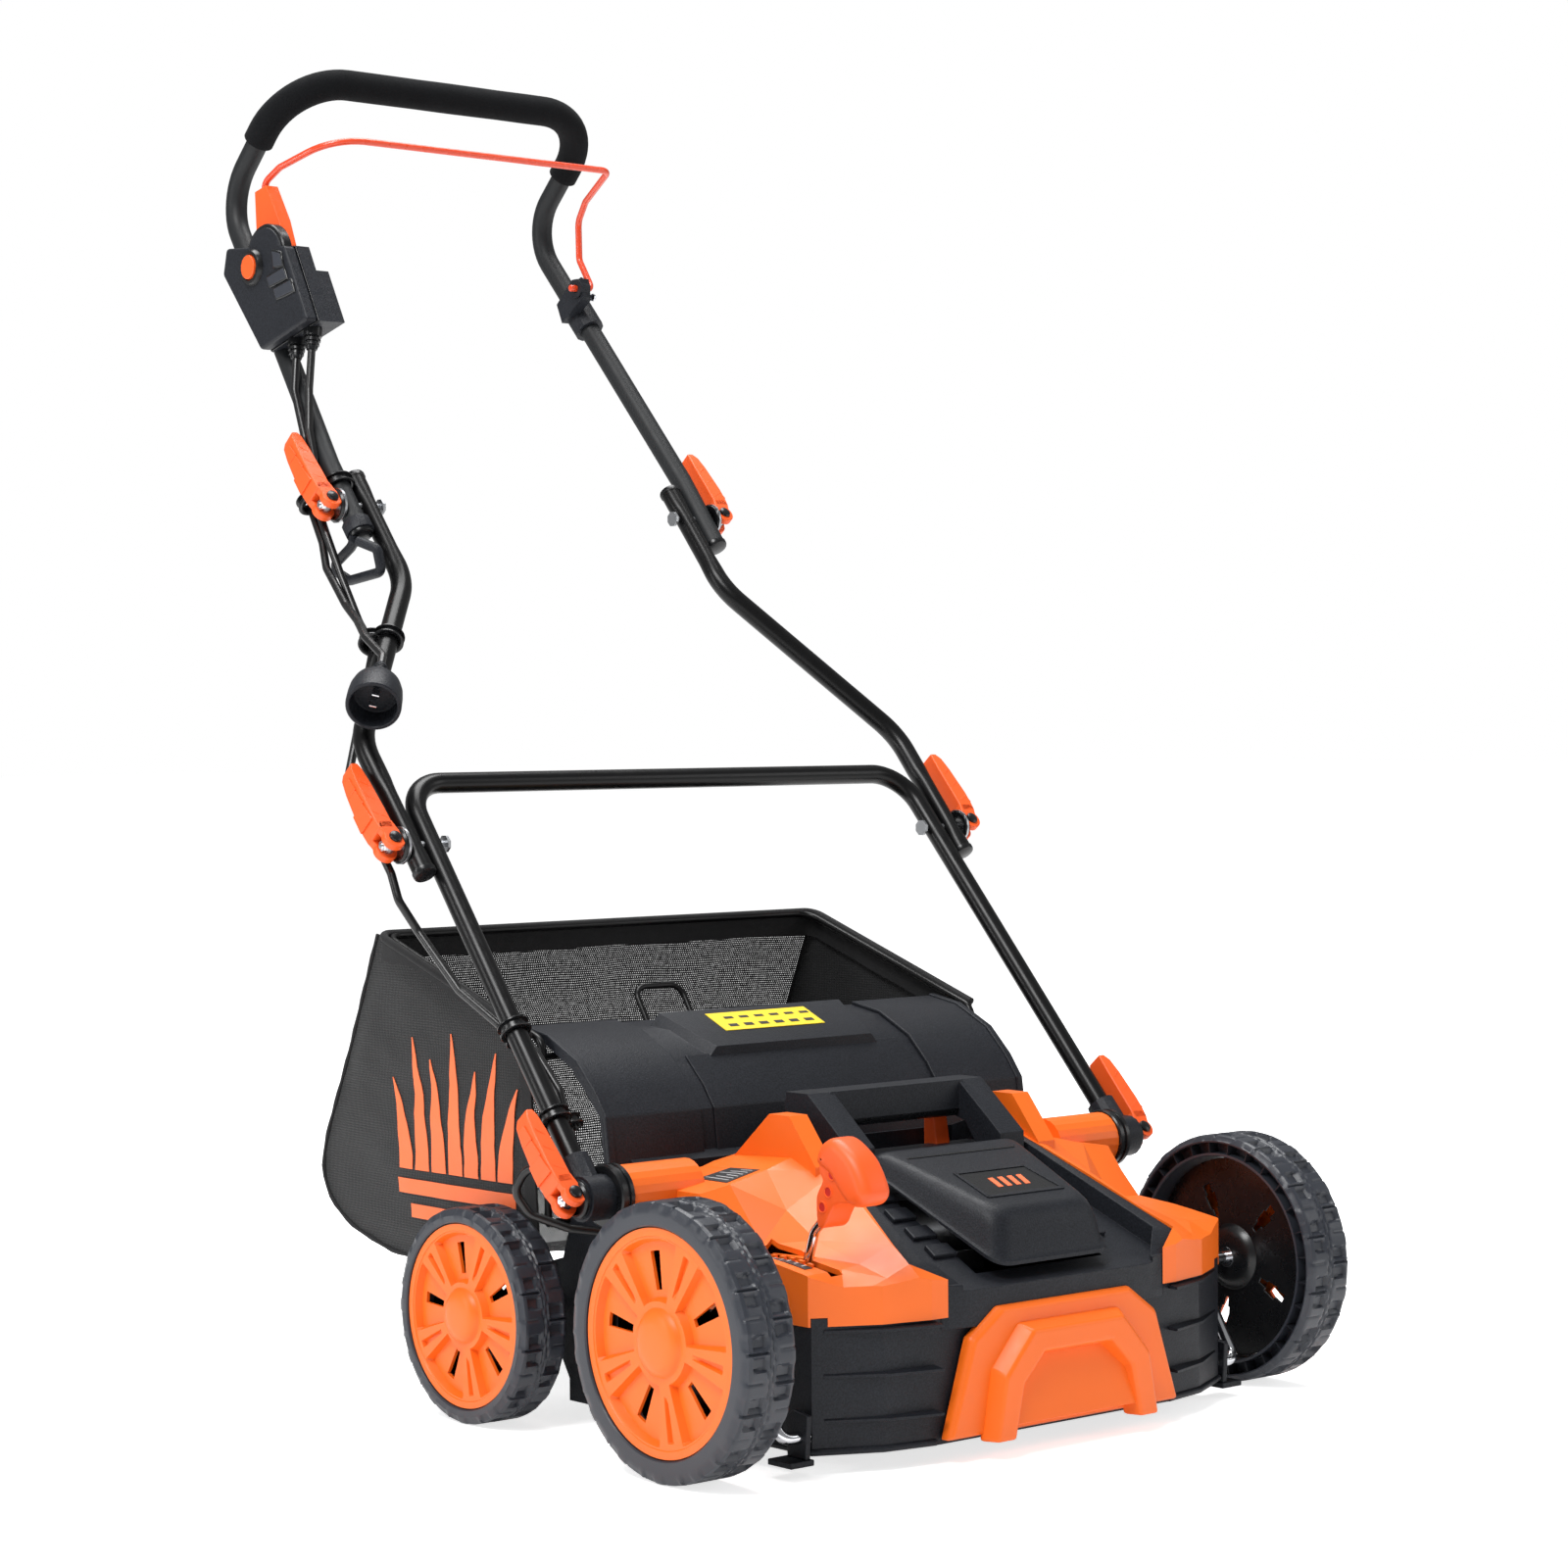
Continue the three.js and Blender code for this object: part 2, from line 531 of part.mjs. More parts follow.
const LEG_FOOT = V(LOWER.pivotX, LOWER.pivotY, LOWER.pivotZ);
const LEG_TOP = V(266, 376, 490);
const LEG_SLOPE = LEG_TOP.clone().sub(LEG_FOOT).normalize();
function lowerHandle() {
  const foot = LEG_FOOT.clone().addScaledVector(LEG_SLOPE, 18);
  const left = (p) => V(-p.x, p.y, p.z);
  const route = rounded([foot, LEG_TOP, left(LEG_TOP), left(foot)], 36, 5);
  const bolts = rodX(3.4, -300, 300, MIDDLE.y, MIDDLE.z, 8);
  return cut(tube(route, LOWER.tube, hollowOf(LOWER.tube)), bolts);
}

function middleTube() {
  const bolts = [rodX(3.4, 200, 320, MIDDLE.y, MIDDLE.z, 8), rodX(3.4, 140, 220, UPPER.y, UPPER.z, 8)];
  return cut(tube(middleRoute, MIDDLE.tube, hollowOf(MIDDLE.tube)), ...bolts);
}

const GRIP = { x: 167, y: 684, z: 1100 };
const HANDLE_CORNERS = [V(UPPER.outerX, 541, 695), V(UPPER.outerX, 590, 757), V(168, 785, 1003),
  V(GRIP.x, GRIP.y, GRIP.z)];
const wholeHandle = (half) => [...half, ...half.toReversed().map((p) => V(-p.x, p.y, p.z))];

function upperHandle() {
  const [end, knee, bulge, corner] = HANDLE_CORNERS;
  const bent = rounded([end, knee, bulge, corner], 45, 4).slice(0, -1);
  const bar = rounded([bent[bent.length - 1], corner, V(0, corner.y, corner.z)], 60, 5).slice(1, -1);
  return wholeHandle([...bent, ...bar]);
}

function gripRoute() {
  const [, , bulge, corner] = HANDLE_CORNERS;
  const start = corner.clone().lerp(bulge, 0.5);
  return wholeHandle(rounded([start, corner, V(0, corner.y, corner.z)], 60, 5).slice(0, -1));
}

const middleRoute = rounded([V(MIDDLE.x, 317, 420.6), V(MIDDLE.x, 404, 524), V(UPPER.x + 1, 508, 656),
  V(UPPER.x, 583, 747)], 62, 4);
const middleWay = mirrorX(tube(middleRoute, MIDDLE.tube + GAP));
const upperRoute = upperHandle();
const upperBolts = rodX(3.4, -220, 220, UPPER.y, UPPER.z, 8);

// The folding joint's bolt, washer and cam barrel, outside a tube face at x.
function jointBolt(headX, headR, faceX, y, z) {
  const barrel = faceX + 11.4;
  const turn = V(0, -UP_SLOPE.z, UP_SLOPE.y);
  const centre = V(barrel, y, z);
  return join(
    rodX(3, headX, barrel + 6.5, y, z, 8),
    rodX(headR, headX - 2.5, headX, y, z, 8),
    rodX(15, faceX + GAP, faceX + 2.5, y, z, 14),
    rodBetween(centre.clone().addScaledVector(turn, -11.5), centre.clone().addScaledVector(turn, 11.5),
      5, 10),
  );
}

// The cam lever lies along the tube; its bore sits round the barrel.
function camLever(faceX, y, z) {
  const half = 11;
  const cam = 8.4;
  const outline = [];
  for (let i = 0; i <= 8; i++) {
    const a = Math.PI - 0.3 + (i * (Math.PI + 0.6)) / 8;
    outline.push([cam * Math.cos(a), cam * Math.sin(a)]);
  }
  outline.push([8.5, 20], [8.5, 70], [5, 76], [1, 76], [-4, 30], [-8, 12]);
  const shape = new THREE.Shape(outline.map(([x, u]) => new THREE.Vector2(x, u)));
  const body = new THREE.ExtrudeGeometry(shape, { depth: 2 * half, bevelEnabled: false }).translate(0, 0,
    -half);
  const bore = new THREE.CylinderGeometry(5.4, 5.4, 60, 12).rotateX(Math.PI / 2);
  const boltWay = box(-20, 9.5, -20, 12, -4.6, 4.6);
  const across = V(1, 0, 0).cross(UP_SLOPE);
  return cut(body, bore, boltWay)
    .applyMatrix4(new THREE.Matrix4().makeBasis(V(1, 0, 0), UP_SLOPE, across))
    .translate(faceX + 11.4, y, z);
}

const LOWER_FACE = 289;

function handleBracket() {
  const { pivotY, pivotZ, tube: r } = LOWER;
  const collar = rodX(17, 255 + GAP, LOWER_FACE, pivotY, pivotZ, 16);
  const along = (reach) => LEG_FOOT.clone().addScaledVector(LEG_SLOPE, reach);
  const socket = cut(rodBetween(along(0), along(34), 12), rodBetween(along(17.5), along(40), r + 0.7));
  return join(collar, socket, jointBolt(192, 3.6, LOWER_FACE - 0.9, pivotY, pivotZ));
}

const MIDDLE_FACE = MIDDLE.x + MIDDLE.tube;
const UPPER_FACE = UPPER.outerX + UPPER.tube - 1;

pair("handle_bracket", handleBracket(), BLACK);
node("lower_handle", lowerHandle(), GLOSS);
pair("middle_tube", middleTube(), GLOSS);
node("upper_handle", cut(tube(upperRoute, UPPER.tube, hollowOf(UPPER.tube)), upperBolts), GLOSS);
node("foam_grip", tube(gripRoute(), FOAM_R, UPPER.tube + GAP), FOAM);
pair("middle_bolt", jointBolt(256, 7, MIDDLE_FACE, MIDDLE.y, MIDDLE.z), STEEL);
pair("upper_bolt", jointBolt(160.5, 7, UPPER_FACE + 0.6, UPPER.y, UPPER.z), STEEL);
pair("cam_lever_lower", camLever(LOWER_FACE - 0.9, LOWER.pivotY, LOWER.pivotZ), ORANGE);
pair("cam_lever_middle", camLever(MIDDLE_FACE, MIDDLE.y, MIDDLE.z), ORANGE);
pair("cam_lever_upper", camLever(UPPER_FACE + 0.6, UPPER.y, UPPER.z), ORANGE);

// ---------- switch, bail and cable hook ----------
const SWITCH = { face: -207, seam: -195, back: -182, belly: -168 };
const SWITCH_OUTLINE = [[634, 946], [599, 880], [673, 860], [733, 930], [727, 953]];
const BELLY_OUTLINE = [[625, 926], [600, 880], [672, 861], [698, 891], [689, 914]]; // below the bail arm
const BUTTON = { y: 683, z: 932, radius: 10.4, travel: 4 };

function hubOutline(radius, y, z, sides) {
  return Array.from({ length: sides }, (_, i) => {
    const a = (2 * Math.PI * i) / sides;
    return [y + radius * Math.cos(a), z + radius * Math.sin(a)];
  });
}

const grow = (outline, by) => {
  const middle = outline.reduce((a, p) => [a[0] + p[0] / outline.length, a[1] + p[1] / outline.length],
    [0, 0]);
  return outline.map(([y, z]) => {
    const d = Math.hypot(y - middle[0], z - middle[1]);
    return [middle[0] + ((y - middle[0]) * (d + by)) / d, middle[1] + ((z - middle[1]) * (d + by)) / d];
  });
};

// Where the upper tube's centre line is at a height.
function tubeAt(z) {
  const [end, knee, bulge] = HANDLE_CORNERS;
  const [low, high] = z < knee.z ? [end, knee] : [knee, bulge];
  return low.clone().lerp(high, (z - low.z) / (high.z - low.z));
}

function switchBack() {
  const clampAt = tubeAt(880);
  const tip = tubeAt(916);
  const clamp = rodBetween(V(-clampAt.x, clampAt.y, clampAt.z), V(-tip.x, tip.y, tip.z), 13, 12);
  const way = tube(upperRoute, UPPER.tube + GAP, 0, 12);
  const back = acrossX(grow(SWITCH_OUTLINE, 1), SWITCH.seam + GAP, SWITCH.back);
  const hub = rodX(8, SWITCH.seam + GAP, -166, BAIL.y, BAIL.z, 12);
  const belly = acrossX(BELLY_OUTLINE, SWITCH.seam + GAP, SWITCH.belly);
  return cut(join(back, belly, clamp, hub), way, box(-260, SWITCH.seam + GAP, 500, 800, 800, 1000));
}

function switchFront() {
  const front = acrossX(SWITCH_OUTLINE, SWITCH.face, SWITCH.seam);
  const hub = acrossX(hubOutline(19, BAIL.y - 2, BAIL.z, 16), SWITCH.face + 1, SWITCH.seam);
  const button = rodX(BUTTON.radius + 0.6, SWITCH.face - 5, SWITCH.face + 9, BUTTON.y, BUTTON.z, 16);
  const pattern = [0, 1, 2].map((k) => {
    const down = 15 * k;
    return acrossX([[612 - down * 0.3, 928 - down], [650 - down * 0.3, 920 - down],
      [648 - down * 0.3, 912 - down],
      [610 - down * 0.3, 920 - down]], SWITCH.face - 1, SWITCH.face + 1.2);
  });
  return cut(join(front, hub), button, ...pattern);
}

function safetyButton() {
  const cap = rodX(BUTTON.radius, SWITCH.face - 6, SWITCH.face - 0.5, BUTTON.y, BUTTON.z, 16);
  const stem = rodX(7, SWITCH.face - 2, SWITCH.face + 8.5 - BUTTON.travel, BUTTON.y, BUTTON.z, 12);
  return join(cap, stem);
}

function bailArm() {
  const outline = [[BAIL.y + 21, BAIL.z + 12], [BAIL.y + 24, BAIL.z + 62], [BAIL.y + 6, BAIL.z + 66],
    [BAIL.y - 14, BAIL.z + 34], [BAIL.y - 23, BAIL.z + 12], [BAIL.y - 20, BAIL.z - 10],
      [BAIL.y, BAIL.z - 15],
    [BAIL.y + 18, BAIL.z - 10]];
  const arm = acrossX(outline, -180, -167.5);
  const hole = rodX(8.4, -200, -150, BAIL.y, BAIL.z, 12);
  const socket = rodBetween(V(-172, BAIL.y + 12, BAIL.z + 30), V(-172, 719, 1012), BAIL.wire + 0.8, 8);
  return cut(arm, hole, socket);
}

function bailWire() {
  const start = V(-172, BAIL.y + 13, BAIL.z + 33);
  const corners = [
    start, V(-172, 719, 1012), V(-168, 700, 1024), V(-150, 641, 1044), V(150, 641, 1044), V(168, 700, 1024),
    V(174, 719, 1008), V(174, 718, 972), V(174, BAIL.y, BAIL.z), V(148, BAIL.y, BAIL.z),
  ];
  return tube(rounded(corners, 8, 3), BAIL.wire, 0, 8);
}

function bailBracket() {
  const at = tubeAt(935);
  const low = tubeAt(905);
  const clamp = rodBetween(V(low.x, low.y, low.z), V(at.x, at.y, at.z), 14, 12);
  const arm = acrossX([[BAIL.y - 9, BAIL.z - 8], [BAIL.y - 6, BAIL.z + 9], [BAIL.y + 8, BAIL.z + 9],
    [730, 930],
    [722, 912]], 156, 168);
  const ear = rodX(9, 154, 168, BAIL.y, BAIL.z, 12);
  const bore = rodX(BAIL.wire + 0.8, 140, 190, BAIL.y, BAIL.z, 10);
  const wireRoom = box(165, 180, BAIL.y - 12, BAIL.y + 16, BAIL.z - 6, BAIL.z + 40);
  return cut(join(clamp, arm, ear), tube(upperRoute, UPPER.tube + GAP, 0, 12), bore, wireRoom);
}

function cableHook() {
  const at = tubeAt(706);
  const low = tubeAt(697);
  const clamp = rodBetween(V(-low.x, low.y, low.z), V(-at.x, at.y, at.z), 12.5, 12);
  const stem = V(-201, low.y - 2, low.z - 2);
  const loop = rounded([stem, V(-199, 548, 685), V(-195, 584, 669), V(-192, 560, 658), V(-191, 514, 664),
    V(-194, 516, 683), V(-201, 534, 690)], 6, 3);
  return cut(join(clamp, tube(loop, 3.4, 0, 8)), tube(upperRoute, UPPER.tube + GAP, 0, 12), middleWay);
}

node("switch_box", switchBack(), BLACK);
node("switch_cover", switchFront(), BLACK);
node("safety_button", safetyButton(), ORANGE);
node("bail_arm", bailArm(), ORANGE);
node("bail_wire", bailWire(), ORANGE);
node("bail_bracket", bailBracket(), BLACK);
node("cable_hook", cableHook(), BLACK);

// ---------- rear flap ----------
const FLAP_ARC = [[176, 200], [181, 237], [194, 254], [216, 275], [252, 292], [286, 298]];

function rearFlap() {
  const inside = FLAP_ARC.map(([y, z], i) => [y + (i < 4 ? FLAP.skin : 0.6), z - (i < 2 ? 0 : FLAP.skin)]);
  const skin = acrossX([...FLAP_ARC, ...inside.toReversed()], -FLAP.half, FLAP.half);
  const foot = acrossX([[166, 192], [166, 201], [177, 206], [180, 199], [174, 192]], -200, 200);
  const ring = (half, rise) => [V(half, 212, 271 + rise), V(half + 14, 268, 295 + rise),
    V(-half - 14, 268, 295 + rise), V(-half, 212, 271 + rise)];
  const pad = loft([ring(92, -1), ring(82, 10)]);
  return join(skin, foot, pad);
}
node("rear_flap", rearFlap(), BLACK);

// ---------- cables ----------
const UP_BACK = V(0, UP_SLOPE.z, -UP_SLOPE.y);

// A point beside the folded tubes: up the slope from a joint, and behind it.
const beside = (x, joint, up, back) =>
  V(x, joint.y, joint.z).addScaledVector(UP_SLOPE, up).addScaledVector(UP_BACK, back);

const cable = (...points) => tube(rounded(points, 14, 2), CABLE_R, 0, 8);

const CLIP = V(-221, 483, 600); // where both cables pass the middle tube's clip
const UPPER_SIDE = -210; // both cables clear the upper tube's swinging end
const MIDDLE_SIDE = -300.5; // the motor cable clears the middle tube's swinging end

// The motor cable and the power lead along the upper handle, held together by a web at their clip.
function upperCables() {
  const motor = cable(V(-190, 616.5, 870.5), V(-199, 609, 822), beside(-205.8, UPPER, 74, -14),
    beside(-205.8, UPPER, 50, -4), beside(-205, UPPER, 20, 20), beside(UPPER_SIDE, UPPER, -12, 20));
  const power = cable(V(-190, 641, 864), V(-200, 630, 822), beside(-205.8, UPPER, 74, -5),
    beside(-205.8, UPPER, 52, 6), beside(-205, UPPER, 20, 29), beside(UPPER_SIDE, UPPER, -12, 29));
  const web = rodBetween(beside(-205.8, UPPER, 74, -14), beside(-205.8, UPPER, 74, -5), 3, 8);
  return join(motor, power, web);
}
node("handle_cables", upperCables(), RUBBER);
node("motor_cable_middle", cable(beside(UPPER_SIDE, UPPER, -18, 20), V(-211, 543.5, 659), V(-210, 520, 622),
  CLIP, V(-250, 456.7, 552), beside(-296, MIDDLE, 88, 20), beside(MIDDLE_SIDE, MIDDLE, 40, 20),
  beside(MIDDLE_SIDE, MIDDLE, -8, 20)), RUBBER);
node("motor_cable_lower", cable(beside(MIDDLE_SIDE, MIDDLE, -14, 20), beside(MIDDLE_SIDE, MIDDLE, -34, 26),
  V(-287, 327, 376), V(-282, 279.7, 332.2), V(-272, 241, 307), V(-260, 214, 290), V(-257, 186, 260),
  V(-257, 169, 222)), RUBBER);
node("motor_cable_loop", cable(V(-257, 168.5, 217), V(-262, 176, 208), V(-276, 205, 200), V(-280, 214, 184),
  V(-270, 208, 166), V(-246, 190, 155), V(-217, 171.9, 150.5)), RUBBER);

const PLUG_AXIS = V(-0.555, -0.64, -0.53).normalize();
const PLUG_FACE = V(-294, 376, 551); // middle of the cup's mouth
const plugAt = (back) => PLUG_FACE.clone().addScaledVector(PLUG_AXIS, -back);

function powerPlug() {
  const profile = [[0, 62], [5, 62], [6.5, 48], [10, 42], [16, 36], [20.5, 28], [21.8, 12], [21.8, 0],
    [18.6, 0],
    [18.2, 20], [0, 22]];
  const points = [...profile, profile[0]].map(([r, back]) => new THREE.Vector2(r, -back));
  const turn = new THREE.Quaternion().setFromUnitVectors(V(0, 1, 0), PLUG_AXIS);
  return new THREE.LatheGeometry(points, 20).applyQuaternion(turn).translate(...PLUG_FACE.toArray());
}
node("power_lead", cable(beside(UPPER_SIDE, UPPER, -18, 29), V(-216, 559, 668), V(-219, 526, 636),
  V(-229, 494, 622), V(-243, 462, 608), plugAt(78), plugAt(62.5)), RUBBER);
node("power_plug", powerPlug(), RUBBER);

// ---------- bag ----------
const BAG_SIDE = [[243, 137], [300, 130], [330, 116], [400, 108], [440, 109], [500, 124], [530, 142],
  [544, 166],
  [536, 196], [500, 270], [BAG.rimY, BAG.rimZ - 4], [254, 294], [243, 286]];
const BAG_INSIDE = [[230, 141], [301, 134], [331, 120], [400, 112], [439, 113], [498, 128], [527, 145],
  [540, 167],
  [532, 195], [496, 269], [BAG.rimY - 5, BAG.rimZ + 30], [254, 330], [230, 330]];

function bagFabric() {
  return cut(acrossX(BAG_SIDE, -BAG.half, BAG.half),
    acrossX(BAG_INSIDE, -BAG.half + BAG.skin, BAG.half - BAG.skin));
}

function bagFrame() {
  const x = BAG.half - 7;
  const loop = [V(x, 246, 290), V(x, BAG.rimY - 1, BAG.rimZ - 5.5), V(-x, BAG.rimY - 1, BAG.rimZ - 5.5),
    V(-x, 246, 290)];
  const rim = tube(rounded([V(x, 240, 150), ...loop, V(-x, 240, 150)].map((p) => V(p.x, p.y, p.z + 2)),
    14, 3),
    WIRE_R, 0, 8);
  const sill = tube([V(-x - 1, 240, 152), V(x + 1, 240, 152)], WIRE_R, 0, 8);
  const bridge = tube([V(-x, 245, 280.5), V(x, 245, 280.5)], WIRE_R - 0.5, 0, 8);
  const handle = tube(rounded([V(-82, 245, 280.5), V(-82, 294, 285.5), V(-82, 318, 322), V(-34, 318, 322),
    V(-34, 294, 285.5), V(-34, 245, 280.5)], 11, 3), WIRE_R - 0.5, 0, 8);
  return join(rim, sill, bridge, handle);
}
node("bag_fabric", bagFabric(), MESH);
node("bag_frame", bagFrame(), GLOSS);

export default machine;
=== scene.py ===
"""The looks of a lawn dethatcher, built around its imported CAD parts.

Lengths are given in millimetres in the machine's own frame, with y = 0 at the front axle, and at() takes
them to the row frame in metres.
"""

import json
import math

import bmesh
import bpy
from mathutils import Matrix, Vector, noise
from mathutils.bvhtree import BVHTree


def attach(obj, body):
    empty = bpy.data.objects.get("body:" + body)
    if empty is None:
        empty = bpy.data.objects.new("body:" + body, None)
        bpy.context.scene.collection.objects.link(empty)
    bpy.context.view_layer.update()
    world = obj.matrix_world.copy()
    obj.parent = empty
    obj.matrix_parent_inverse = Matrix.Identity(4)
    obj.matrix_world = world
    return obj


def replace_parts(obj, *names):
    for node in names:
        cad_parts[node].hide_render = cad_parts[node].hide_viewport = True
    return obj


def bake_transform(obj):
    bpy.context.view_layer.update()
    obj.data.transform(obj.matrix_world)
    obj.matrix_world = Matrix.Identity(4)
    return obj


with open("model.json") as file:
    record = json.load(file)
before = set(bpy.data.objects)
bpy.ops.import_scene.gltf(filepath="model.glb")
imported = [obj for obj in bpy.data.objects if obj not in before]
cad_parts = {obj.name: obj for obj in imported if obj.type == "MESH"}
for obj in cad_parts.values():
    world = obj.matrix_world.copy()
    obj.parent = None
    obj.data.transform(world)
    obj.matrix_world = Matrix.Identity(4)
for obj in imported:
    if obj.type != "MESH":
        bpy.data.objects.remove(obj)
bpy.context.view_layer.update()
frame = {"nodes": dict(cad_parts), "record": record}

MM = 0.001
CENTRE_Y = 334.0
BODY_OF = {n: b for b, nodes in frame["record"]["behaviour"]["bodies"].items() for n in nodes}
SIDES = {"right": 1, "left": -1}


def at(x, y, z):
    """A point of the machine, in the row frame."""
    return Vector((x, y - CENTRE_Y, z)) * MM


# ---------- materials ----------
def linear(r, g, b):
    """A colour given as 0 to 255 in sRGB."""
    return [((c / 255 + 0.055) / 1.055) ** 2.4 if c > 10 else c / 255 / 12.92 for c in (r, g, b)] + [1.0]


def node_material(name):
    made = bpy.data.materials.new(name)
    made.use_nodes = True
    return made, made.node_tree, made.node_tree.nodes["Principled BSDF"]


def feed(tree, socket, value):
    """Links the socket to another node's output, or gives it a value of its own."""
    if isinstance(value, bpy.types.NodeSocket):
        tree.links.new(value, socket)
    else:
        socket.default_value = value


def put(tree, node, *operands, **values):
    """Feeds a node: operands go to its inputs in order, and values to the input of that name, with _ for a
    space, or else to the property of that name."""
    for key, value in values.items():
        socket = key.replace("_", " ")
        if socket in node.inputs:
            feed(tree, node.inputs[socket], value)
        else:
            setattr(node, key, value)
    for socket, value in zip(node.inputs, operands):
        feed(tree, socket, value)
    return node


def add(tree, kind, *operands, **values):
    return put(tree, tree.nodes.new("ShaderNode" + kind), *operands, **values)


def ranged(tree, source, low, high):
    return add(tree, "MapRange", Value=source, To_Min=low, To_Max=high).outputs["Result"]


def math_node(tree, operation, *operands):
    return add(tree, "Math", *operands, operation=operation).outputs[0]


def mixed(tree, factor, low, high):
    """A colour between low and high, as the factor goes from 0 to 1."""
    made = add(tree, "Mix", data_type="RGBA", Factor=factor)
    ends = [socket for socket in made.inputs if socket.type == "RGBA"]
    for socket, color in zip(ends, (low, high)):
        socket.default_value = color
    return next(socket for socket in made.outputs if socket.type == "RGBA")


def scaled(color, factor, floor=0.0):
    return [min(c * factor + floor, 1) for c in color[:3]] + [1]


GRAIN_DEPTH = 0.0004  # metres


def surface(name, color, roughness, metallic=0.0, grain=0.1, grain_size=0.8, blotch=0.08, rough_spread=0.08,
            coat=0.0, specular=0.5, streak=None, sheen=0.0, speckle=0.0):
    """A moulded, painted or metal surface: large soft colour changes, uneven gloss and a fine grain.
    grain_size is in millimetres; streak stretches the gloss pattern along that axis; speckle is how far the
    colour changes with the grain."""
    made, tree, shader = node_material(name)
    color = linear(*color)
    where = add(tree, "TexCoord").outputs["Object"]
    large = add(tree, "TexNoise", Vector=where, Scale=14.0, Detail=4.0).outputs["Fac"]
    fine = add(tree, "TexNoise", Vector=where, Scale=1000.0 / grain_size, Detail=2.0).outputs["Fac"]
    if streak:
        stretch = [0.04 if axis == streak else 6.0 for axis in "XYZ"]
        where = add(tree, "Mapping", Vector=where, Scale=stretch).outputs["Vector"]
    gloss = add(tree, "TexNoise", Vector=where, Scale=90.0, Detail=6.0).outputs["Fac"]
    tint = mixed(tree, large, scaled(color, 1 - blotch), scaled(color, 1 + blotch, 0.001))
    specks = add(tree, "VectorMath", operation="SCALE", Vector=tint,
                 Scale=ranged(tree, fine, 1 - 2 * speckle, 1 + 2 * speckle))
    bump = add(tree, "Bump", Strength=grain, Distance=GRAIN_DEPTH, Height=fine)
    put(tree, shader, Base_Color=specks.outputs["Vector"], Normal=bump.outputs["Normal"], Metallic=metallic,
        Roughness=ranged(tree, gloss, roughness - rough_spread, roughness + rough_spread), Coat_Weight=coat,
        Coat_Roughness=0.12, Specular_IOR_Level=specular, Sheen_Weight=sheen)
    return made


THREAD_PITCH = 0.0021  # metres


def ramp(tree, factor, low, high):
    made = add(tree, "ValToRGB", Fac=factor)
    for stop, color in zip(made.color_ramp.elements, (low, high)):
        stop.color = color
    return made.outputs["Color"]


def mesh_fabric(name, cover, dark, light):
    """Woven netting: crossing threads with small holes between them, from the cloth's own flat coordinates.
    cover moves the threads' edge: lower values leave smaller holes."""
    made, tree, shader = node_material(name)
    flat = add(tree, "UVMap", uv_map="flat").outputs["UV"]
    split = add(tree, "SeparateXYZ", Vector=flat)
    waves = [math_node(tree, "SINE", math_node(tree, "MULTIPLY", split.outputs[side],
                                               2 * math.pi / THREAD_PITCH)) for side in "XY"]
    high = math_node(tree, "MAXIMUM", *waves)
    uneven = add(tree, "TexNoise", Vector=flat, Scale=260.0, Detail=3.0).outputs["Fac"]
    worn = math_node(tree, "ADD", high, math_node(tree, "MULTIPLY_ADD", uneven, 1.1, -0.55))
    thread = add(tree, "MapRange", interpolation_type="SMOOTHSTEP", Value=worn, From_Min=cover - 0.25,
                 From_Max=cover + 0.25)
    bump = add(tree, "Bump", Strength=0.6, Distance=0.0005, Height=high)
    where = add(tree, "TexCoord").outputs["Object"]
    large = add(tree, "TexNoise", Vector=where, Scale=9.0, Detail=5.0).outputs["Fac"]
    put(tree, shader, Base_Color=ramp(tree, large, linear(*dark), linear(*light)), Roughness=0.72,
        Normal=bump.outputs["Normal"], Sheen_Weight=0.06)
    clear = add(tree, "BsdfTransparent").outputs["BSDF"]
    mix = add(tree, "MixShader", thread.outputs["Result"], clear, shader.outputs["BSDF"])
    tree.links.new(mix.outputs["Shader"], tree.nodes["Material Output"].inputs["Surface"])
    return made


ORANGE = surface("orange_plastic", (238, 106, 22), 0.40, grain=0.12, grain_size=0.9, blotch=0.05,
                 specular=0.4)
BLACK = surface("black_plastic", (30, 32, 37), 0.44, grain=0.6, grain_size=1.3, blotch=0.2, specular=0.2,
                speckle=0.45)
GLOSSY = surface("smooth_black", (15, 16, 18), 0.28, grain=0.06, grain_size=1.2, blotch=0.1, specular=0.4)
TYRE = surface("tread_plastic", (47, 50, 57), 0.34, grain=0.26, grain_size=0.6, blotch=0.12, specular=0.4)
TUBE = surface("coated_tube", (8, 8, 9), 0.30, grain=0.01, grain_size=2.0, blotch=0.1, specular=0.25)
MATT_TUBE = surface("matt_tube", (25, 27, 29), 0.50, grain=0.05, grain_size=1.2, blotch=0.1, specular=0.3)
WIRE_RED = surface("orange_wire", (216, 66, 28), 0.28, grain=0.04, grain_size=2.0, blotch=0.06, coat=0.3)
FOAM = surface("foam", (15, 16, 18), 0.93, grain=0.9, grain_size=1.1, blotch=0.22, specular=0.12,
               sheen=0.02, speckle=0.25)
CABLE = surface("cable_jacket", (12, 12, 13), 0.32, grain=0.05, grain_size=1.5, blotch=0.12)
CHROME = surface("bright_steel", (214, 216, 220), 0.16, metallic=1.0, grain=0.04, grain_size=1.0, blotch=0.06,
                 rough_spread=0.06)
STEEL = surface("zinc_steel", (168, 170, 173), 0.34, metallic=1.0, grain=0.08, grain_size=0.6, streak="X")
SPRING = surface("spring_wire", (150, 152, 156), 0.28, metallic=1.0, grain=0.05, grain_size=0.6, streak="Y")
BELT = surface("belt_rubber", (30, 30, 31), 0.75, grain=0.3, grain_size=0.9)
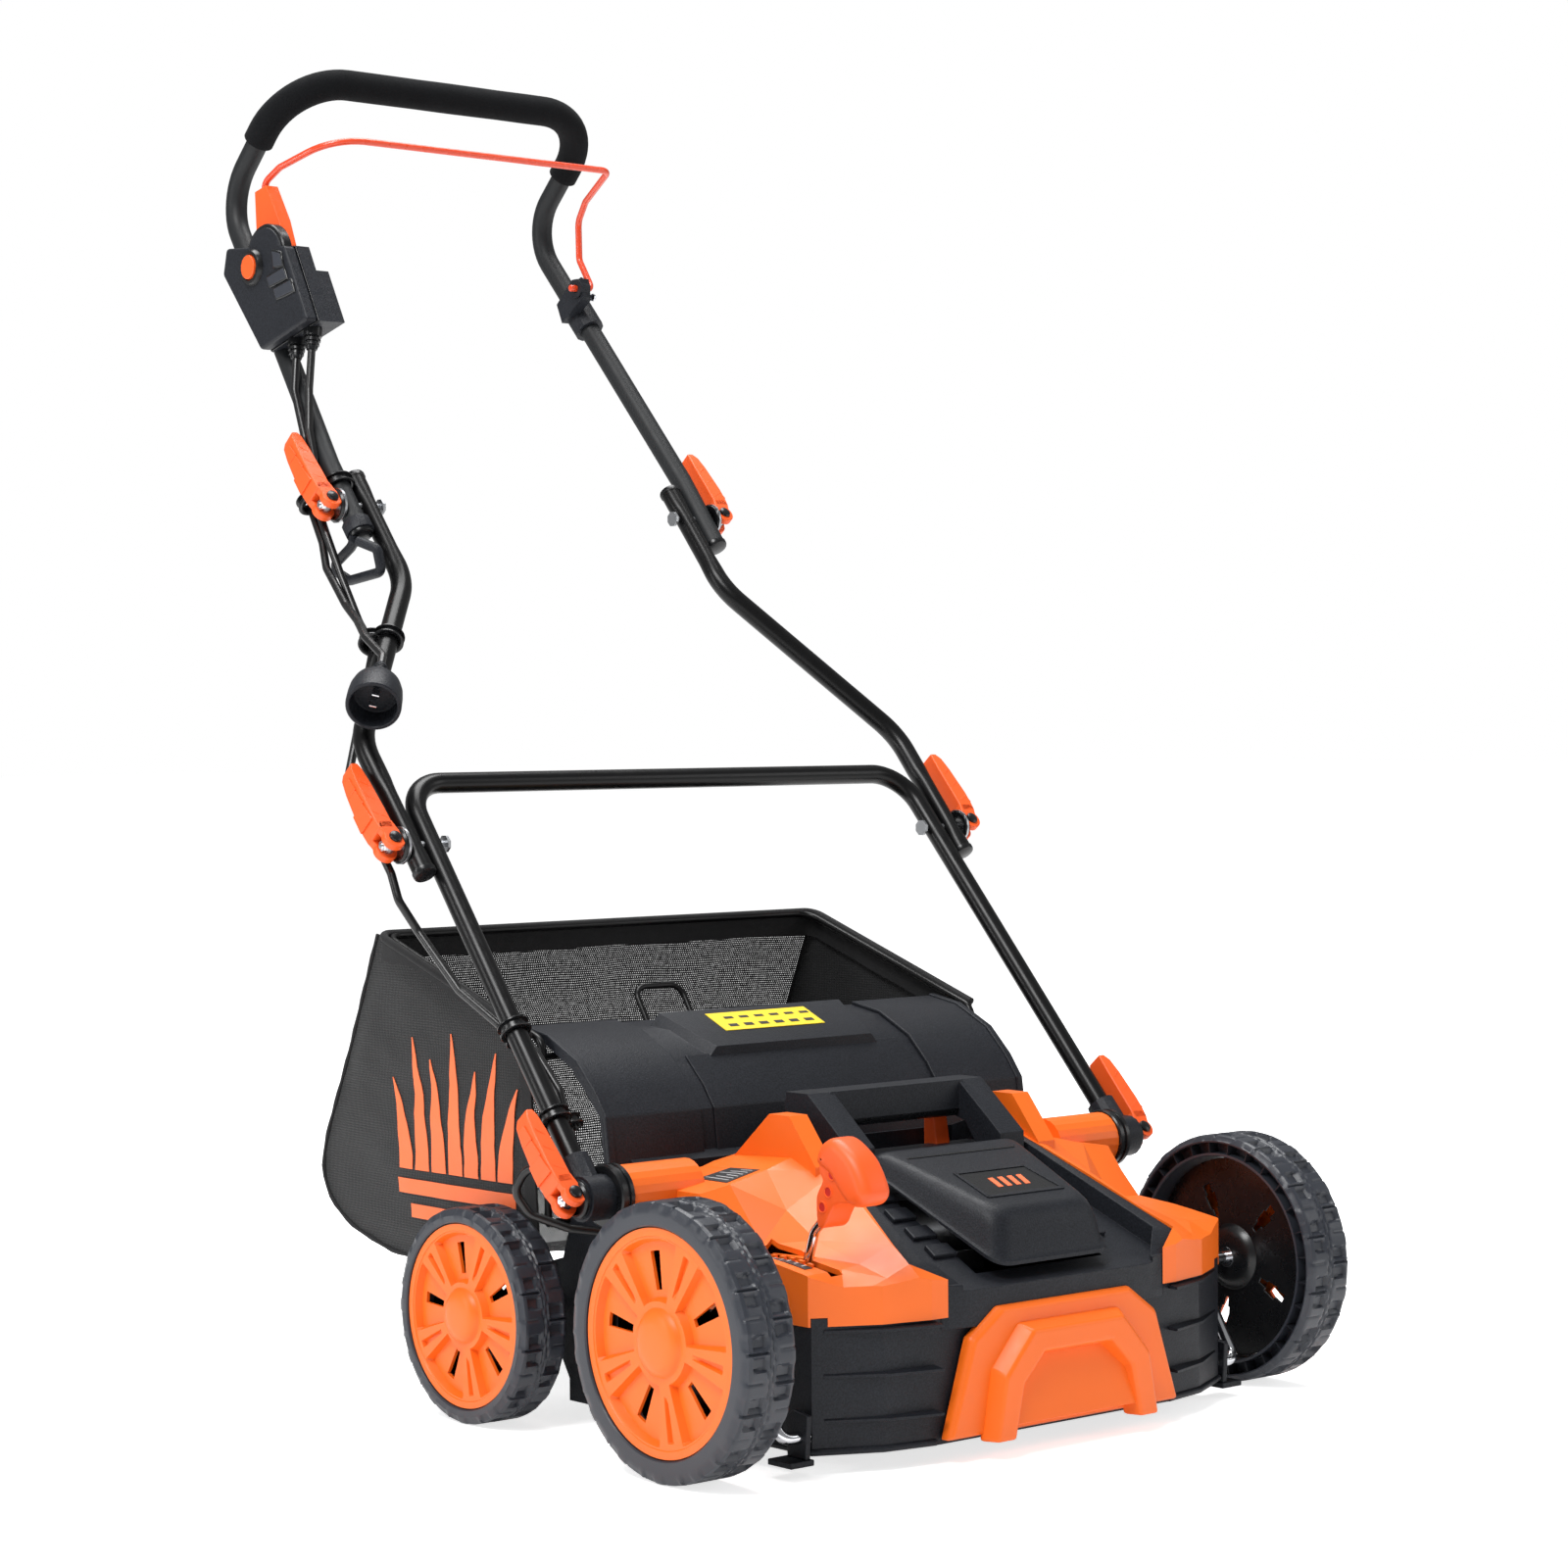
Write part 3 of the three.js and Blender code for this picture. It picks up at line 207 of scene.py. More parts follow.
HEM = surface("hem_tape", (14, 14, 16), 0.82, grain=0.7, grain_size=1.3, blotch=0.2, sheen=0.03)
PRINT = surface("printed_orange", (240, 112, 62), 0.62, grain=0.6, grain_size=1.5, blotch=0.09)
YELLOW = surface("yellow_label", (240, 208, 40), 0.42, grain=0.03, grain_size=1.5, blotch=0.03)
INK = surface("label_ink", (30, 30, 32), 0.5, grain=0.03, blotch=0.1)
PALE = surface("pale_ink", (172, 174, 176), 0.5, grain=0.03, blotch=0.06)
LEVER_RED = surface("lever_orange", (240, 90, 30), 0.42, grain=0.1, grain_size=0.9, blotch=0.06, specular=0.4)
# Painted shade: a dark red for the knob's grip holes, standing in for the shade inside them.
PAINTED_HOLE_SHADE = surface("painted_hole_shade", (190, 22, 10), 0.6, grain=0.2, blotch=0.1)
NETTING = mesh_fabric("bag_netting", -0.62, (16, 17, 18), (40, 42, 45))
DENSE_NETTING = mesh_fabric("bag_side_netting", -1.5, (7, 7, 8), (18, 19, 21))

SURFACE_OF_SLOT = {
    "painted_orange": ORANGE, "black_plastic": BLACK, "black_tube": TUBE, "steel": STEEL, "tyre": TYRE,
    "foam": FOAM, "cable": CABLE, "mesh_fabric": NETTING, "orange_wire": WIRE_RED,
}
SLOT_OF = {s["node"]: s["material_slot"] for s in frame["record"]["subparts"]}


# ---------- mesh tools ----------
def link_object(name, mesh, materials, body, smooth=35):
    """smooth is the angle, in degrees, above which an edge stays sharp."""
    made = bpy.data.objects.new(name, mesh)
    bpy.context.scene.collection.objects.link(made)
    for material in materials:
        mesh.materials.append(material)
    for polygon in mesh.polygons:
        polygon.use_smooth = True
    mesh.set_sharp_from_angle(angle=math.radians(smooth))
    if body:
        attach(made, body)
    return made


def reshape(mesh, merge_distance=0.0, flat_angle=0.0, outward=True):
    """Merges close points, then faces that lie nearly in one plane, then turns the faces outwards."""
    opened = bmesh.new()
    opened.from_mesh(mesh)
    if merge_distance:
        bmesh.ops.remove_doubles(opened, verts=opened.verts, dist=merge_distance)
    if flat_angle:
        bmesh.ops.dissolve_limit(opened, angle_limit=flat_angle, verts=opened.verts, edges=opened.edges)
    if outward:
        bmesh.ops.recalc_face_normals(opened, faces=opened.faces)
    opened.to_mesh(mesh)
    opened.free()


def build(name, points, faces, material, body, smooth=35):
    mesh = bpy.data.meshes.new(name)
    mesh.from_pydata([tuple(p) for p in points], [], [tuple(f) for f in faces])
    mesh.validate()
    reshape(mesh)
    return link_object(name, mesh, [material], body, smooth)


def round_edges(obj, width, segments=3, angle=28):
    made = obj.modifiers.new("round_edges", "BEVEL")
    made.width = width * MM
    made.segments = segments
    made.limit_method = "ANGLE"
    made.angle_limit = math.radians(angle)
    made.harden_normals = True
    made.use_clamp_overlap = True
    return obj


def stands_for(made, node):
    """The piece takes the place of a CAD node, which is hidden."""
    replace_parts(made, node)
    return made


SAME_POINT = 2e-5  # metres
SAME_PLANE = math.radians(0.8)


def rework(node, material=None, width=1.2, segments=3, angle=28, smooth=35):
    """The CAD node's own shape with its flat faces merged and its edges rounded; it stands for the node."""
    mesh = frame["nodes"][node].data.copy()
    mesh.name = node
    mesh.materials.clear()
    reshape(mesh, SAME_POINT, SAME_PLANE, outward=False)
    made = link_object("look_" + node, mesh, [material or SURFACE_OF_SLOT[SLOT_OF[node]]], BODY_OF[node],
                       smooth)
    stands_for(made, node)
    if width:
        round_edges(made, width, segments, angle)
    return made


NEARLY_STRAIGHT = math.radians(89.5)


def rounded(corners, radius, steps=8):
    """The corner points joined by straight lines, with round bends. radius is in millimetres, a number or one
    per bend."""
    bends = radius if hasattr(radius, "__len__") else [radius] * len(corners)
    made = [Vector(corners[0])]
    for k in range(1, len(corners) - 1):
        corner = Vector(corners[k])
        back = (Vector(corners[k - 1]) - corner).normalized()
        ahead = (Vector(corners[k + 1]) - corner).normalized()
        half = back.angle(ahead) / 2
        if half > NEARLY_STRAIGHT:
            made.append(corner)
            continue
        bend = bends[k - 1] * MM
        reach = bend / math.tan(half)
        centre = corner + (back + ahead).normalized() * (bend / math.sin(half))
        start = corner + back * reach - centre
        end = corner + ahead * reach - centre
        axis = start.cross(end).normalized()
        sweep = start.angle(end)
        for s in range(steps + 1):
            made.append(Matrix.Rotation(sweep * s / steps, 3, axis) @ start + centre)
    return made + [Vector(corners[-1])]


def dense(points, step):
    """The same line with points at most a step apart."""
    made = [points[0]]
    for a, b in zip(points, points[1:]):
        count = max(1, math.ceil((b - a).length / step))
        made += [a.lerp(b, i / count) for i in range(1, count + 1)]
    return made


def sweep(points, section, up=None):
    """Rings of a section, given per point as (across, along) pairs, that don't twist along a line."""
    rings = []
    side = up or Vector((0.31, 0.17, 0.94))
    for i, p in enumerate(points):
        ahead = (points[min(i + 1, len(points) - 1)] - points[max(i - 1, 0)]).normalized()
        side = (side - ahead * side.dot(ahead)).normalized()
        other = ahead.cross(side)
        rings.append([p + side * a + other * b for a, b in section(i)])
    return rings


def around(count, loop):
    """Faces between the rings of a closed loop of rings, count points to a ring, numbered ring after ring."""
    return [(low + i, low + (i + 1) % count, high + (i + 1) % count, high + i)
            for low, high in loop for i in range(count)]


def stacked(name, rings, material, body, width=0.0, segments=3, smooth=35):
    """A solid through closed rings of points in metres, all with as many points, closed at both ends."""
    count = len(rings[0])
    verts = [p for points in rings for p in points]
    last = len(verts) - count
    faces = around(count, [(low, low + count) for low in range(0, last, count)])
    faces += [tuple(range(count))[::-1], tuple(range(last, len(verts)))]
    made = build(name, verts, faces, material, body, smooth)
    return round_edges(made, width, segments) if width else made


def ring(radius, sides=20, squash=1.0):
    turns = [2 * math.pi * k / sides for k in range(sides)]
    return [(radius * math.cos(a), radius * squash * math.sin(a)) for a in turns]


def pipe(name, points, radius, material, body, sides=20, ends=0.0):
    """A round tube along points in metres. radius is in millimetres, a number or one per point.
    ends rounds the tube's ends over that many millimetres."""
    radii = list(radius) if hasattr(radius, "__len__") else [radius] * len(points)
    points = list(points)
    if ends:
        first = (points[0] - points[1]).normalized()
        last = (points[-1] - points[-2]).normalized()
        caps = [(0.15, 0.98), (0.5, 0.85), (0.85, 0.55), (1.0, 0.2)]
        before = [(points[0] + first * ends * t * MM, radii[0] * r) for t, r in reversed(caps)]
        after = [(points[-1] + last * ends * t * MM, radii[-1] * r) for t, r in caps]
        points = [p for p, _ in before] + points + [p for p, _ in after]
        radii = [r for _, r in before] + radii + [r for _, r in after]
    return stacked(name, sweep(points, lambda i: ring(radii[i] * MM, sides)), material, body, smooth=50)


def bent_pipe(name, corners, bend, step, radius, material, body, sides=20, steps=8, ends=0.0):
    """A round tube through corner points in metres. bend and radius are in millimetres, step in metres."""
    return pipe(name, dense(rounded(corners, bend, steps), step), radius, material, body, sides, ends)


COINCIDENT = 1e-6  # metres


def spun(name, profile, centre, axis, material, body, sides=48, smooth=30):
    """A turned piece. profile is (radius, along) pairs in millimetres, around an axis through a point."""
    axis = Vector(axis).normalized()
    u = axis.orthogonal().normalized()
    v = axis.cross(u)
    verts, faces = [], []
    count = len(profile)
    for k in range(sides):
        a = 2 * math.pi * k / sides
        out = u * math.cos(a) + v * math.sin(a)
        verts += [centre + out * (r * MM) + axis * (h * MM) for r, h in profile]
        low, high = k * count, (k + 1) % sides * count
        faces += [(low + i, low + i + 1, high + i + 1, high + i) for i in range(count - 1)]
    made = build(name, verts, faces, material, body, smooth)
    reshape(made.data, COINCIDENT)
    return made


def prism(name, outline, x0, x1, material, body, width=0.8):
    """An outline of (y, z) pairs between two places across the machine, with rounded edges."""
    return stacked(name, [[at(x, y, z) for y, z in outline] for x in (x0, x1)], material, body, width)


def curved(corners, steps=4):
    """A closed line through (y, z) corners, made smooth."""
    made = []
    count = len(corners)
    for i in range(count):
        a, b, c, d = (Vector(corners[(i + k) % count]) for k in (-1, 0, 1, 2))
        for k in range(steps):
            t = k / steps
            made.append((b * 2 + (c - a) * t + (a * 2 - b * 5 + c * 4 - d) * t ** 2
                         + (b * 3 - a - c * 3 + d) * t ** 3) / 2)
    return made


def cushion(name, outline, x0, x1, radius, material, body):
    """A closed outline made solid across the machine from x0 to x1, with both its rims rounded."""
    points = [Vector(p) for p in outline]
    count = len(points)
    area = sum(points[i - 1].x * points[i].y - points[i].x * points[i - 1].y for i in range(count))
    inward = []
    for i in range(count):
        ahead = (points[(i + 1) % count] - points[i - 1]).normalized()
        inward.append(Vector((-ahead.y, ahead.x)) * (1 if area > 0 else -1))
    quarter = [(radius * (1 - math.cos(a)), radius * (1 - math.sin(a))) for a in
               (math.radians(15 * k) for k in range(7))]
    stations = [(x0 + along, inset) for along, inset in quarter]
    stations += [(x1 - along, inset) for along, inset in reversed(quarter)]
    rings = [[at(x, *(p + way * inset)) for p, way in zip(points, inward)] for x, inset in stations]
    return stacked(name, rings, material, body, smooth=40)


def slab(name, corners, thick, material, body, width=0.3):
    """A thin plate on corners in metres, raised along its normal by thick millimetres."""
    points = [Vector(c) for c in corners]
    normal = (points[1] - points[0]).cross(points[2] - points[0]).normalized() * (thick * MM)
    return stacked(name, [[p - normal * 0.4 for p in points], [p + normal for p in points]], material, body,
                   width, 2)


def plate_faces(n, m):
    """Faces of a thin plate of n by m cells, whose points come in pairs, one under and one over."""
    w = 2 * (m + 1)
    cells = [(i * w + 2 * j) for i in range(n) for j in range(m)]
    faces = [face for k in cells for face in ((k, k + 2, k + w + 2, k + w),
                                              (k + 1, k + w + 1, k + w + 3, k + 3))]
    for k in range(0, n * w, w):
        faces += [(k, k + w, k + w + 1, k + 1), (k + 2 * m, k + 2 * m + 1, k + w + 2 * m + 1, k + w + 2 * m)]
    for k in range(0, 2 * m, 2):
        faces += [(k, k + 1, k + 3, k + 2), (n * w + k, n * w + k + 2, n * w + k + 3, n * w + k + 1)]
    return faces


def boxes(name, points, material, body):
    """Boxes of eight corners each, the corners going along one edge, then the next, then the last."""
    sides = ((0, 1, 3, 2), (4, 6, 7, 5), (0, 2, 6, 4), (1, 5, 7, 3), (0, 4, 5, 1), (2, 3, 7, 6))
    faces = [tuple(first + i for i in side) for first in range(0, len(points), 8) for side in sides]
    return build(name, points, faces, material, body)


def mirrored(p):
    return Vector((-p.x, p.y, p.z))


def two_sided(points):
    """A line that goes on with its own mirror image on the machine's other side."""
    return [*points, *[mirrored(p) for p in reversed(points)]]


def places(*points):
    return [at(*p) for p in points]


# ---------- handle tubes ----------
# The folding joints, and the tubes' radii.
LOWER, MIDDLE, UPPER = (279, 120, 188), (287, 336, 443), (192.5, 562, 721)
LOWER_R, MIDDLE_R, UPPER_R = 8.3, 8.8, 9.5
TUBE_SIDES = 28
CRIMP = 0.16  # the part of its height that a crimped tube loses
UP = Vector((0, MIDDLE[1] - LOWER[1], MIDDLE[2] - LOWER[2])).normalized()
BACK = Vector((0, UP.z, -UP.y))
ACROSS = Vector((1, 0, 0))

leg_foot = at(*LOWER)
leg_top = at(266, 376, 490)
leg_slope = (leg_top - leg_foot).normalized()
lower_tube = bent_pipe("lower_tube", two_sided([leg_foot + leg_slope * 18 * MM, leg_top]), 36, 0.02, LOWER_R,
                       TUBE, "lower_handle_body", TUBE_SIDES, 14)
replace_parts(lower_tube, "lower_handle")


def crimped_pipe(name, points, radius, spans, material, body):
    """A tube that is pressed flatter inside each span, which is given by two points."""
    def pressed(i):
        squeeze = 0.0
        for start, end in spans:
            along = (points[i] - start).dot(end - start) / (end - start).length_squared
            if -0.05 < along < 1.05:
                squeeze = max(squeeze, min(1, min(along + 0.05, 1.05 - along) * 6))
        return ring(radius * MM, TUBE_SIDES, 1 - CRIMP * squeeze)

    return stacked(name, sweep(points, pressed, Vector((0, 0.77, -0.64))), material, body, smooth=50)


for side, s in SIDES.items():
    corners = [at(s * 287, 317, 420.6), at(s * 287, 404, 524), at(s * 173, 508, 656), at(s * 172, 583, 747)]
    route = dense(rounded(corners, 62, 10), 0.008)
    joint = at(s * MIDDLE[0], *MIDDLE[1:])
    top_joint = at(s * 172, *UPPER[1:])
    spans = [(joint - UP * 0.012, joint + UP * 0.06), (top_joint - UP * 0.06, top_joint + UP * 0.012)]
    made = crimped_pipe("middle_tube_look_" + side, route, MIDDLE_R, spans, TUBE, "middle_body")
    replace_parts(made, "middle_tube_" + side)
    for place, end, other in (("low", corners[0], corners[1]), ("high", corners[3], corners[2])):
        spun(f"middle_cap_{place}_{side}", [(0, 2.2), (6.5, 2.0), (9.0, 0.8), (9.6, -0.6), (9.6, -3.5),
                                            (8.6, -4)], end, end - other, GLOSSY, "middle_body", 28)

upper_foot, upper_knee, upper_bend, grip_corner, grip_middle = places(
    (192.5, 541, 695), (192.5, 590, 757), (168, 785, 1003), (167, 684, 1100), (0, 684, 1100))
upper_half = rounded([upper_foot, upper_knee, upper_bend, grip_corner], 45, 12)[:-1]
bar_half = rounded([upper_half[-1], grip_corner, grip_middle], 60, 14)[1:-1]
upper_route = dense(two_sided(upper_half + bar_half), 0.015)
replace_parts(pipe("upper_tube", upper_route, UPPER_R, MATT_TUBE, "upper_body", TUBE_SIDES), "upper_handle")
for side in SIDES:
    foot, knee = [p if side == "right" else mirrored(p) for p in (upper_foot, upper_knee)]
    spun("upper_cap_" + side, [(0, 2.4), (7, 2.1), (9.8, 0.8), (10.4, -0.6), (10.4, -3.5), (9.4, -4)], foot,
         foot - knee, GLOSSY, "upper_body", 28)

grip_start = grip_corner.lerp(upper_bend, 0.5)
grip_route = dense(two_sided(rounded([grip_start, grip_corner, grip_middle], 60, 16)[:-1]), 0.006)
grip_radii = [13.4 + 0.18 * noise.noise(Vector((i * 0.21, 2.0, 0.3))) for i in range(len(grip_route))]
grip = pipe("foam_sleeve", grip_route, grip_radii, FOAM, "upper_body", 36, ends=2.5)
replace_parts(grip, "foam_grip")

# ---------- folding joints and their cam levers ----------
for name in ("handle_bracket", "middle_bolt", "upper_bolt"):
    for side in SIDES:
        rework(f"{name}_{side}", width=0.5, segments=2)


def local(centre, s, out, up, back):
    """A point given outwards, up the tube and behind it, in millimetres, from a place on the machine."""
    return centre + ACROSS * (s * out * MM) + UP * (up * MM) + BACK * (back * MM)


def cam_lever(place, side, centre):
    s = SIDES[side]
    tag = f"{place}_{side}"
    body = f"lever_{tag}"

    def solid(name, corners, width):
        rings = [[local(centre, s, *corner) for corner in ring_corners] for ring_corners in corners]
        return stacked(f"{name}_{tag}", rings, LEVER_RED, body, width)

    def plate(name, corners, thick, width, turned):
        points = [local(centre, s, *corner) for corner in corners]
        slab(name, points[::-1] if turned else points, thick, LEVER_RED, body, width)

    # Up the arm: how far up, its inner and outer face, and half its width.
    stations = [(9, -4.2, 10.2, 11), (18, -4.0, 11.2, 11), (30, -3.8, 11.6, 10.8), (58, -3.0, 10.4, 9.6),
                (71, -2.0, 8.8, 8.8), (77.5, -0.4, 5.4, 7.8)]
    arm = solid("lever_arm", [[(low, up, -half), (high, up, -half), (high, up, half), (low, up, half)]
                              for up, low, high, half in stations], 1.5)
    stands_for(arm, f"cam_lever_{tag}")
    eye = [math.radians(a) for a in range(-210, 35, 15)]
    outline = [(9.2 * math.cos(a), 9.2 * math.sin(a)) for a in eye]
    outline += [(10.4, 12), (8, 17), (-4, 17), (-6.5, 8)]
    for name, ends in (("front", (-11, -4.4)), ("back", (4.4, 11))):
        solid("lever_fork_" + name, [[(x, up, b) for x, up in outline] for b in ends], 1.0)
    for k, (low, high, inset) in enumerate([(20, 37, 1.2), (37, 52, 3.2), (52, 66, 5.2)]):
        base, tip, edge = 11.4 - k * 0.45, 11.2 - k * 0.9, -10.9 + k * 0.5
        plate(f"lever_step_{tag}_{k}", [(base, low, inset - 11), (base, low, 11 - inset),
                                        (tip, high, 11 - inset), (tip, high, inset - 8)], 1.4, 0.3, s < 0)
        plate(f"lever_ridge_{tag}_{k}", [(k - 1, low, edge), (9 - k, low + 5, edge),
                                         (9 - k, low + 7, edge + 0.05), (k - 1, low + 2, edge)], 0.5, 0.15,
              s > 0)


JOINTS = (("lower", LOWER, 299.5, 289.0, "lower_handle_body"),
          ("middle", MIDDLE, 307.2, 295.8, "middle_body"), ("upper", UPPER, 213.0, 201.0, "upper_body"))
PIN_HEAD = [(0, 2.6), (3.4, 2.4), (4.9, 1.6), (5.3, 0.4), (5.3, -1.2)]
for place, (_, y, z), barrel_x, face_x, body in JOINTS:
    for side, s in SIDES.items():
        centre = at(s * barrel_x, y, z)
        cam_lever(place, side, centre)
        for end, label in ((-1, "front"), (1, "back")):
            spun(f"pin_head_{place}_{side}_{label}", PIN_HEAD,
                 centre + BACK * (end * 11.2 * MM), BACK * end, GLOSSY, body, 28)
        spun(f"pin_barrel_{place}_{side}", [(0, -4.2), (4.6, -4.2), (4.6, 4.2), (0, 4.2)], centre, BACK,
             CHROME, body, 28)
        spun(f"bolt_end_{place}_{side}", [(0, 5.6), (2.2, 5.4), (2.7, 4.6), (2.7, -4)],
             centre + ACROSS * (s * 3 * MM), ACROSS * s, CHROME, body, 20)
        spun(f"bolt_nut_{place}_{side}", [(2.6, 2.2), (4.4, 2.1), (4.9, 1.4), (4.9, -1.6)],
             centre + ACROSS * (s * 5.0 * MM), ACROSS * s, CHROME, body, 6, 20)
        spun(f"cup_washer_{place}_{side}", [(4, 0.2), (13.2, 0.2), (14.2, 1.4), (14.0, 3.6), (12.6, 5.2),
                                            (11.2, 5.2), (10.6, 2.4), (4, 2.2), (4, 0.2)],
             at(s * face_x, y, z), ACROSS * s, GLOSSY, body, 40)

# ---------- wheels ----------
# inner and outer are the wheel's sides, from the machine's middle; groups counts its tread's lug groups.
WHEELS = {
    "front": {"radius": 100.0, "inner": 267.0, "outer": 315.0, "rim": 82.0, "y": 0, "z": 100, "groups": 14},
    "rear": {"radius": 83.0, "inner": 246.0, "outer": 290.0, "rim": 71.0, "y": 273, "z": 83, "groups": 12},
}


GROUP_STEPS = 30  # points along a group of lugs
TREAD_COLUMNS = 28


def hill(value, low, high, edge):
    """1 between low and high, falling smoothly to 0 over edge on either side."""
    up = min(max((value - low) / edge + 0.5, 0), 1)
    down = min(max((high - value) / edge + 0.5, 0), 1)
    return (up * up * (3 - 2 * up)) * (down * down * (3 - 2 * down))


def tread_depth(turn, across):
    """How deep the tread is cut, in millimetres: turn is 0 to 1 along a group of lugs, across -1 to 1."""
    side = abs(across)
    first = hill(turn, 0.10 + 0.05 * side, 0.33, 0.05)
    second = hill(turn, 0.47, 0.70 - 0.05 * side, 0.05)
    depth = 3.3 * (first + second) * hill(side, 0.22, 0.82, 0.10)
    depth += 2.0 * hill(turn, 0.385, 0.415, 0.03) * hill(side, 0.16, 1.2, 0.08)
    wave = 0.10 * (2 * abs((turn * 2 + 0.5) % 1 - 0.5) - 0.5)
    depth += 1.2 * (hill(across - wave, 0.06, 0.12, 0.04) + hill(across - wave, -0.12, -0.06, 0.04))
    depth += 1.1 * hill(turn, 0.86, 0.89, 0.03) * hill(side, 0.34, 1.2, 0.08)
    return depth


def scallop(turn):
    """How far the tread's edge is cut back: two shallow bays to a group."""
    return 2.3 * max(hill(turn, 0.12, 0.36, 0.09), hill(turn, 0.47, 0.86, 0.11) * 0.8)


def tyre(name, side, wheel):
    """The tread ring: side walls, lugs, and a ribbed recess on the inner side."""
    s = SIDES[side]
    radius, inner, outer, rim = wheel["radius"], wheel["inner"], wheel["outer"], wheel["rim"]
    steps = wheel["groups"] * GROUP_STEPS
    half, middle = (outer - inner) / 2 - 3.2, (outer + inner) / 2
    verts = []
    for k in range(steps):
        turn = (k % GROUP_STEPS) / GROUP_STEPS
        far_turn = (turn + 0.5) % 1
        cut, far_cut = scallop(turn), scallop(far_turn)
        section = [(rim + 0.4, outer - 7), (rim + 0.4, outer - 2.0), (rim + 1.4, outer - 1.0),
                   ((rim + radius) / 2, outer - 0.7), (radius - 5.2 - cut * 0.5, outer - 0.9),
                   (radius - 2.6 - cut * 0.9, outer - 1.5 - cut * 0.25)]
        for j in range(TREAD_COLUMNS + 1):
            across = 1 - 2 * j / TREAD_COLUMNS
            shoulder = max(abs(across) - 0.9, 0) * 10
            near = across > 0
            depth = tread_depth(turn if near else far_turn, across)
            depth += shoulder * (0.5 + (cut if near else far_cut) * 0.35)
            section.append((radius - depth, middle + across * half))
        section += [(radius - 2.6 - far_cut * 0.9, inner + 1.5), (radius - 5.0, inner + 0.4),
                    (radius - 6.2, inner + 0.6), (radius - 6.6, inner + 12), (rim + 3.2, inner + 12),
                    (rim + 3.0, inner + 1.4), (rim + 1.2, inner + 1.2), (rim + 0.6, inner + 2.0),
                    (rim + 0.4, inner + 20)]
        a = 2 * math.pi * k / steps
        verts += [at(s * x, wheel["y"] + r * math.sin(a), wheel["z"] - r * math.cos(a)) for r, x in section]
    count = len(section)
    faces = around(count, [(k * count, (k + 1) % steps * count) for k in range(steps)])
    body = f"{name}_wheel_{side}"
    stands_for(build(f"tread_{name}_{side}", verts, faces, TYRE, body, 32), f"{name}_tyre_{side}")
    ribs = []
    for k in range(2 * wheel["groups"]):
        a = 2 * math.pi * (k + 0.5) / (2 * wheel["groups"])
        out, along = Vector((0, math.sin(a), -math.cos(a))), Vector((0, math.cos(a), math.sin(a)))
        ribs += [at(*(Vector((s * x, wheel["y"], wheel["z"])) + out * r + along * w))
                 for x in (inner + 1.6, inner + 12.2) for r in (rim + 2, radius - 6.2) for w in (-0.55, 0.55)]
    boxes(f"tread_ribs_{name}_{side}", ribs, BLACK, body)


def filled_in(stops, step):
    """The stops with more between them, so that none is further than step from the next."""
    made = [stops[0]]
    for a, b in zip(stops, stops[1:]):
        count = max(1, math.ceil((b - a) / step - 1e-6))
        made += [a + (b - a) * i / count for i in range(1, count + 1)]
    return made


REPEATS = 5  # of the wheel's pattern, round the wheel


def disc(label, body, side, wheel, radii, turns, height, open_at, face_x, thick, material, phase):
    """A moulded disc with a pattern repeated around it, raised by height(radius, turn) from face_x, and
    open where open_at(radius, turn) is true. turn is in degrees from a repeat's middle."""
    s = SIDES[side]
    faces = []
    verts = [at(s * (face_x + height(0, 0)), wheel["y"], wheel["z"])] if radii[0] == 0 else []
    first = len(verts)
    rings = radii[1:] if first else radii
    spokes = [360 / REPEATS * k + t for k in range(REPEATS) for t in turns[:-1]]
    n = len(spokes)
    for r in rings:
        for k, t in enumerate(spokes):
            turn = turns[k % (len(turns) - 1)]
            a = math.radians(t + phase)
            verts.append(at(s * (face_x + height(r, turn)), wheel["y"] - r * math.cos(a),
                            wheel["z"] + r * math.sin(a)))
    if first:
        faces = [(0, 1 + (k + 1) % n, 1 + k) for k in range(n)]
    for i in range(len(rings) - 1):
        for k in range(n):
            t0, t1 = turns[k % (len(turns) - 1)], turns[k % (len(turns) - 1) + 1]
            if not open_at((rings[i] + rings[i + 1]) / 2, (t0 + t1) / 2):
                a, b = first + i * n + k, first + i * n + (k + 1) % n
                faces.append((a, b, b + n, a + n))
    if s < 0:
        faces = [f[::-1] for f in faces]
    mesh = bpy.data.meshes.new(label)
    mesh.from_pydata([tuple(p) for p in verts], [], faces)
    mesh.validate()
    made = link_object(label, mesh, [material], None, 30)
    solid = made.modifiers.new("thickness", "SOLIDIFY")
    solid.thickness = thick * MM
    solid.offset = -1.0
    round_edges(made, 0.55, 2, 32)
    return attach(made, body)


def rim_height(scale):
    def height(r, turn):
        r /= scale
        if r < 24.6:
            return -2.0 + 7.4 * (1 - (r / 25.5) ** 7) * (1 - 0.10 * (r / 25) ** 2)
        if r > 75.4:
            return 0.0
        pocket = hill(abs(turn), -1, 24.4, 2.4) * hill(r, 31, 72.5, 2.6)
        groove = hill(36 - abs(turn), -1, 2.2, 0.9) * hill(r, 38, 70, 1.2)
        return -0.8 - 5.6 * pocket - 3.4 * groove
    return height


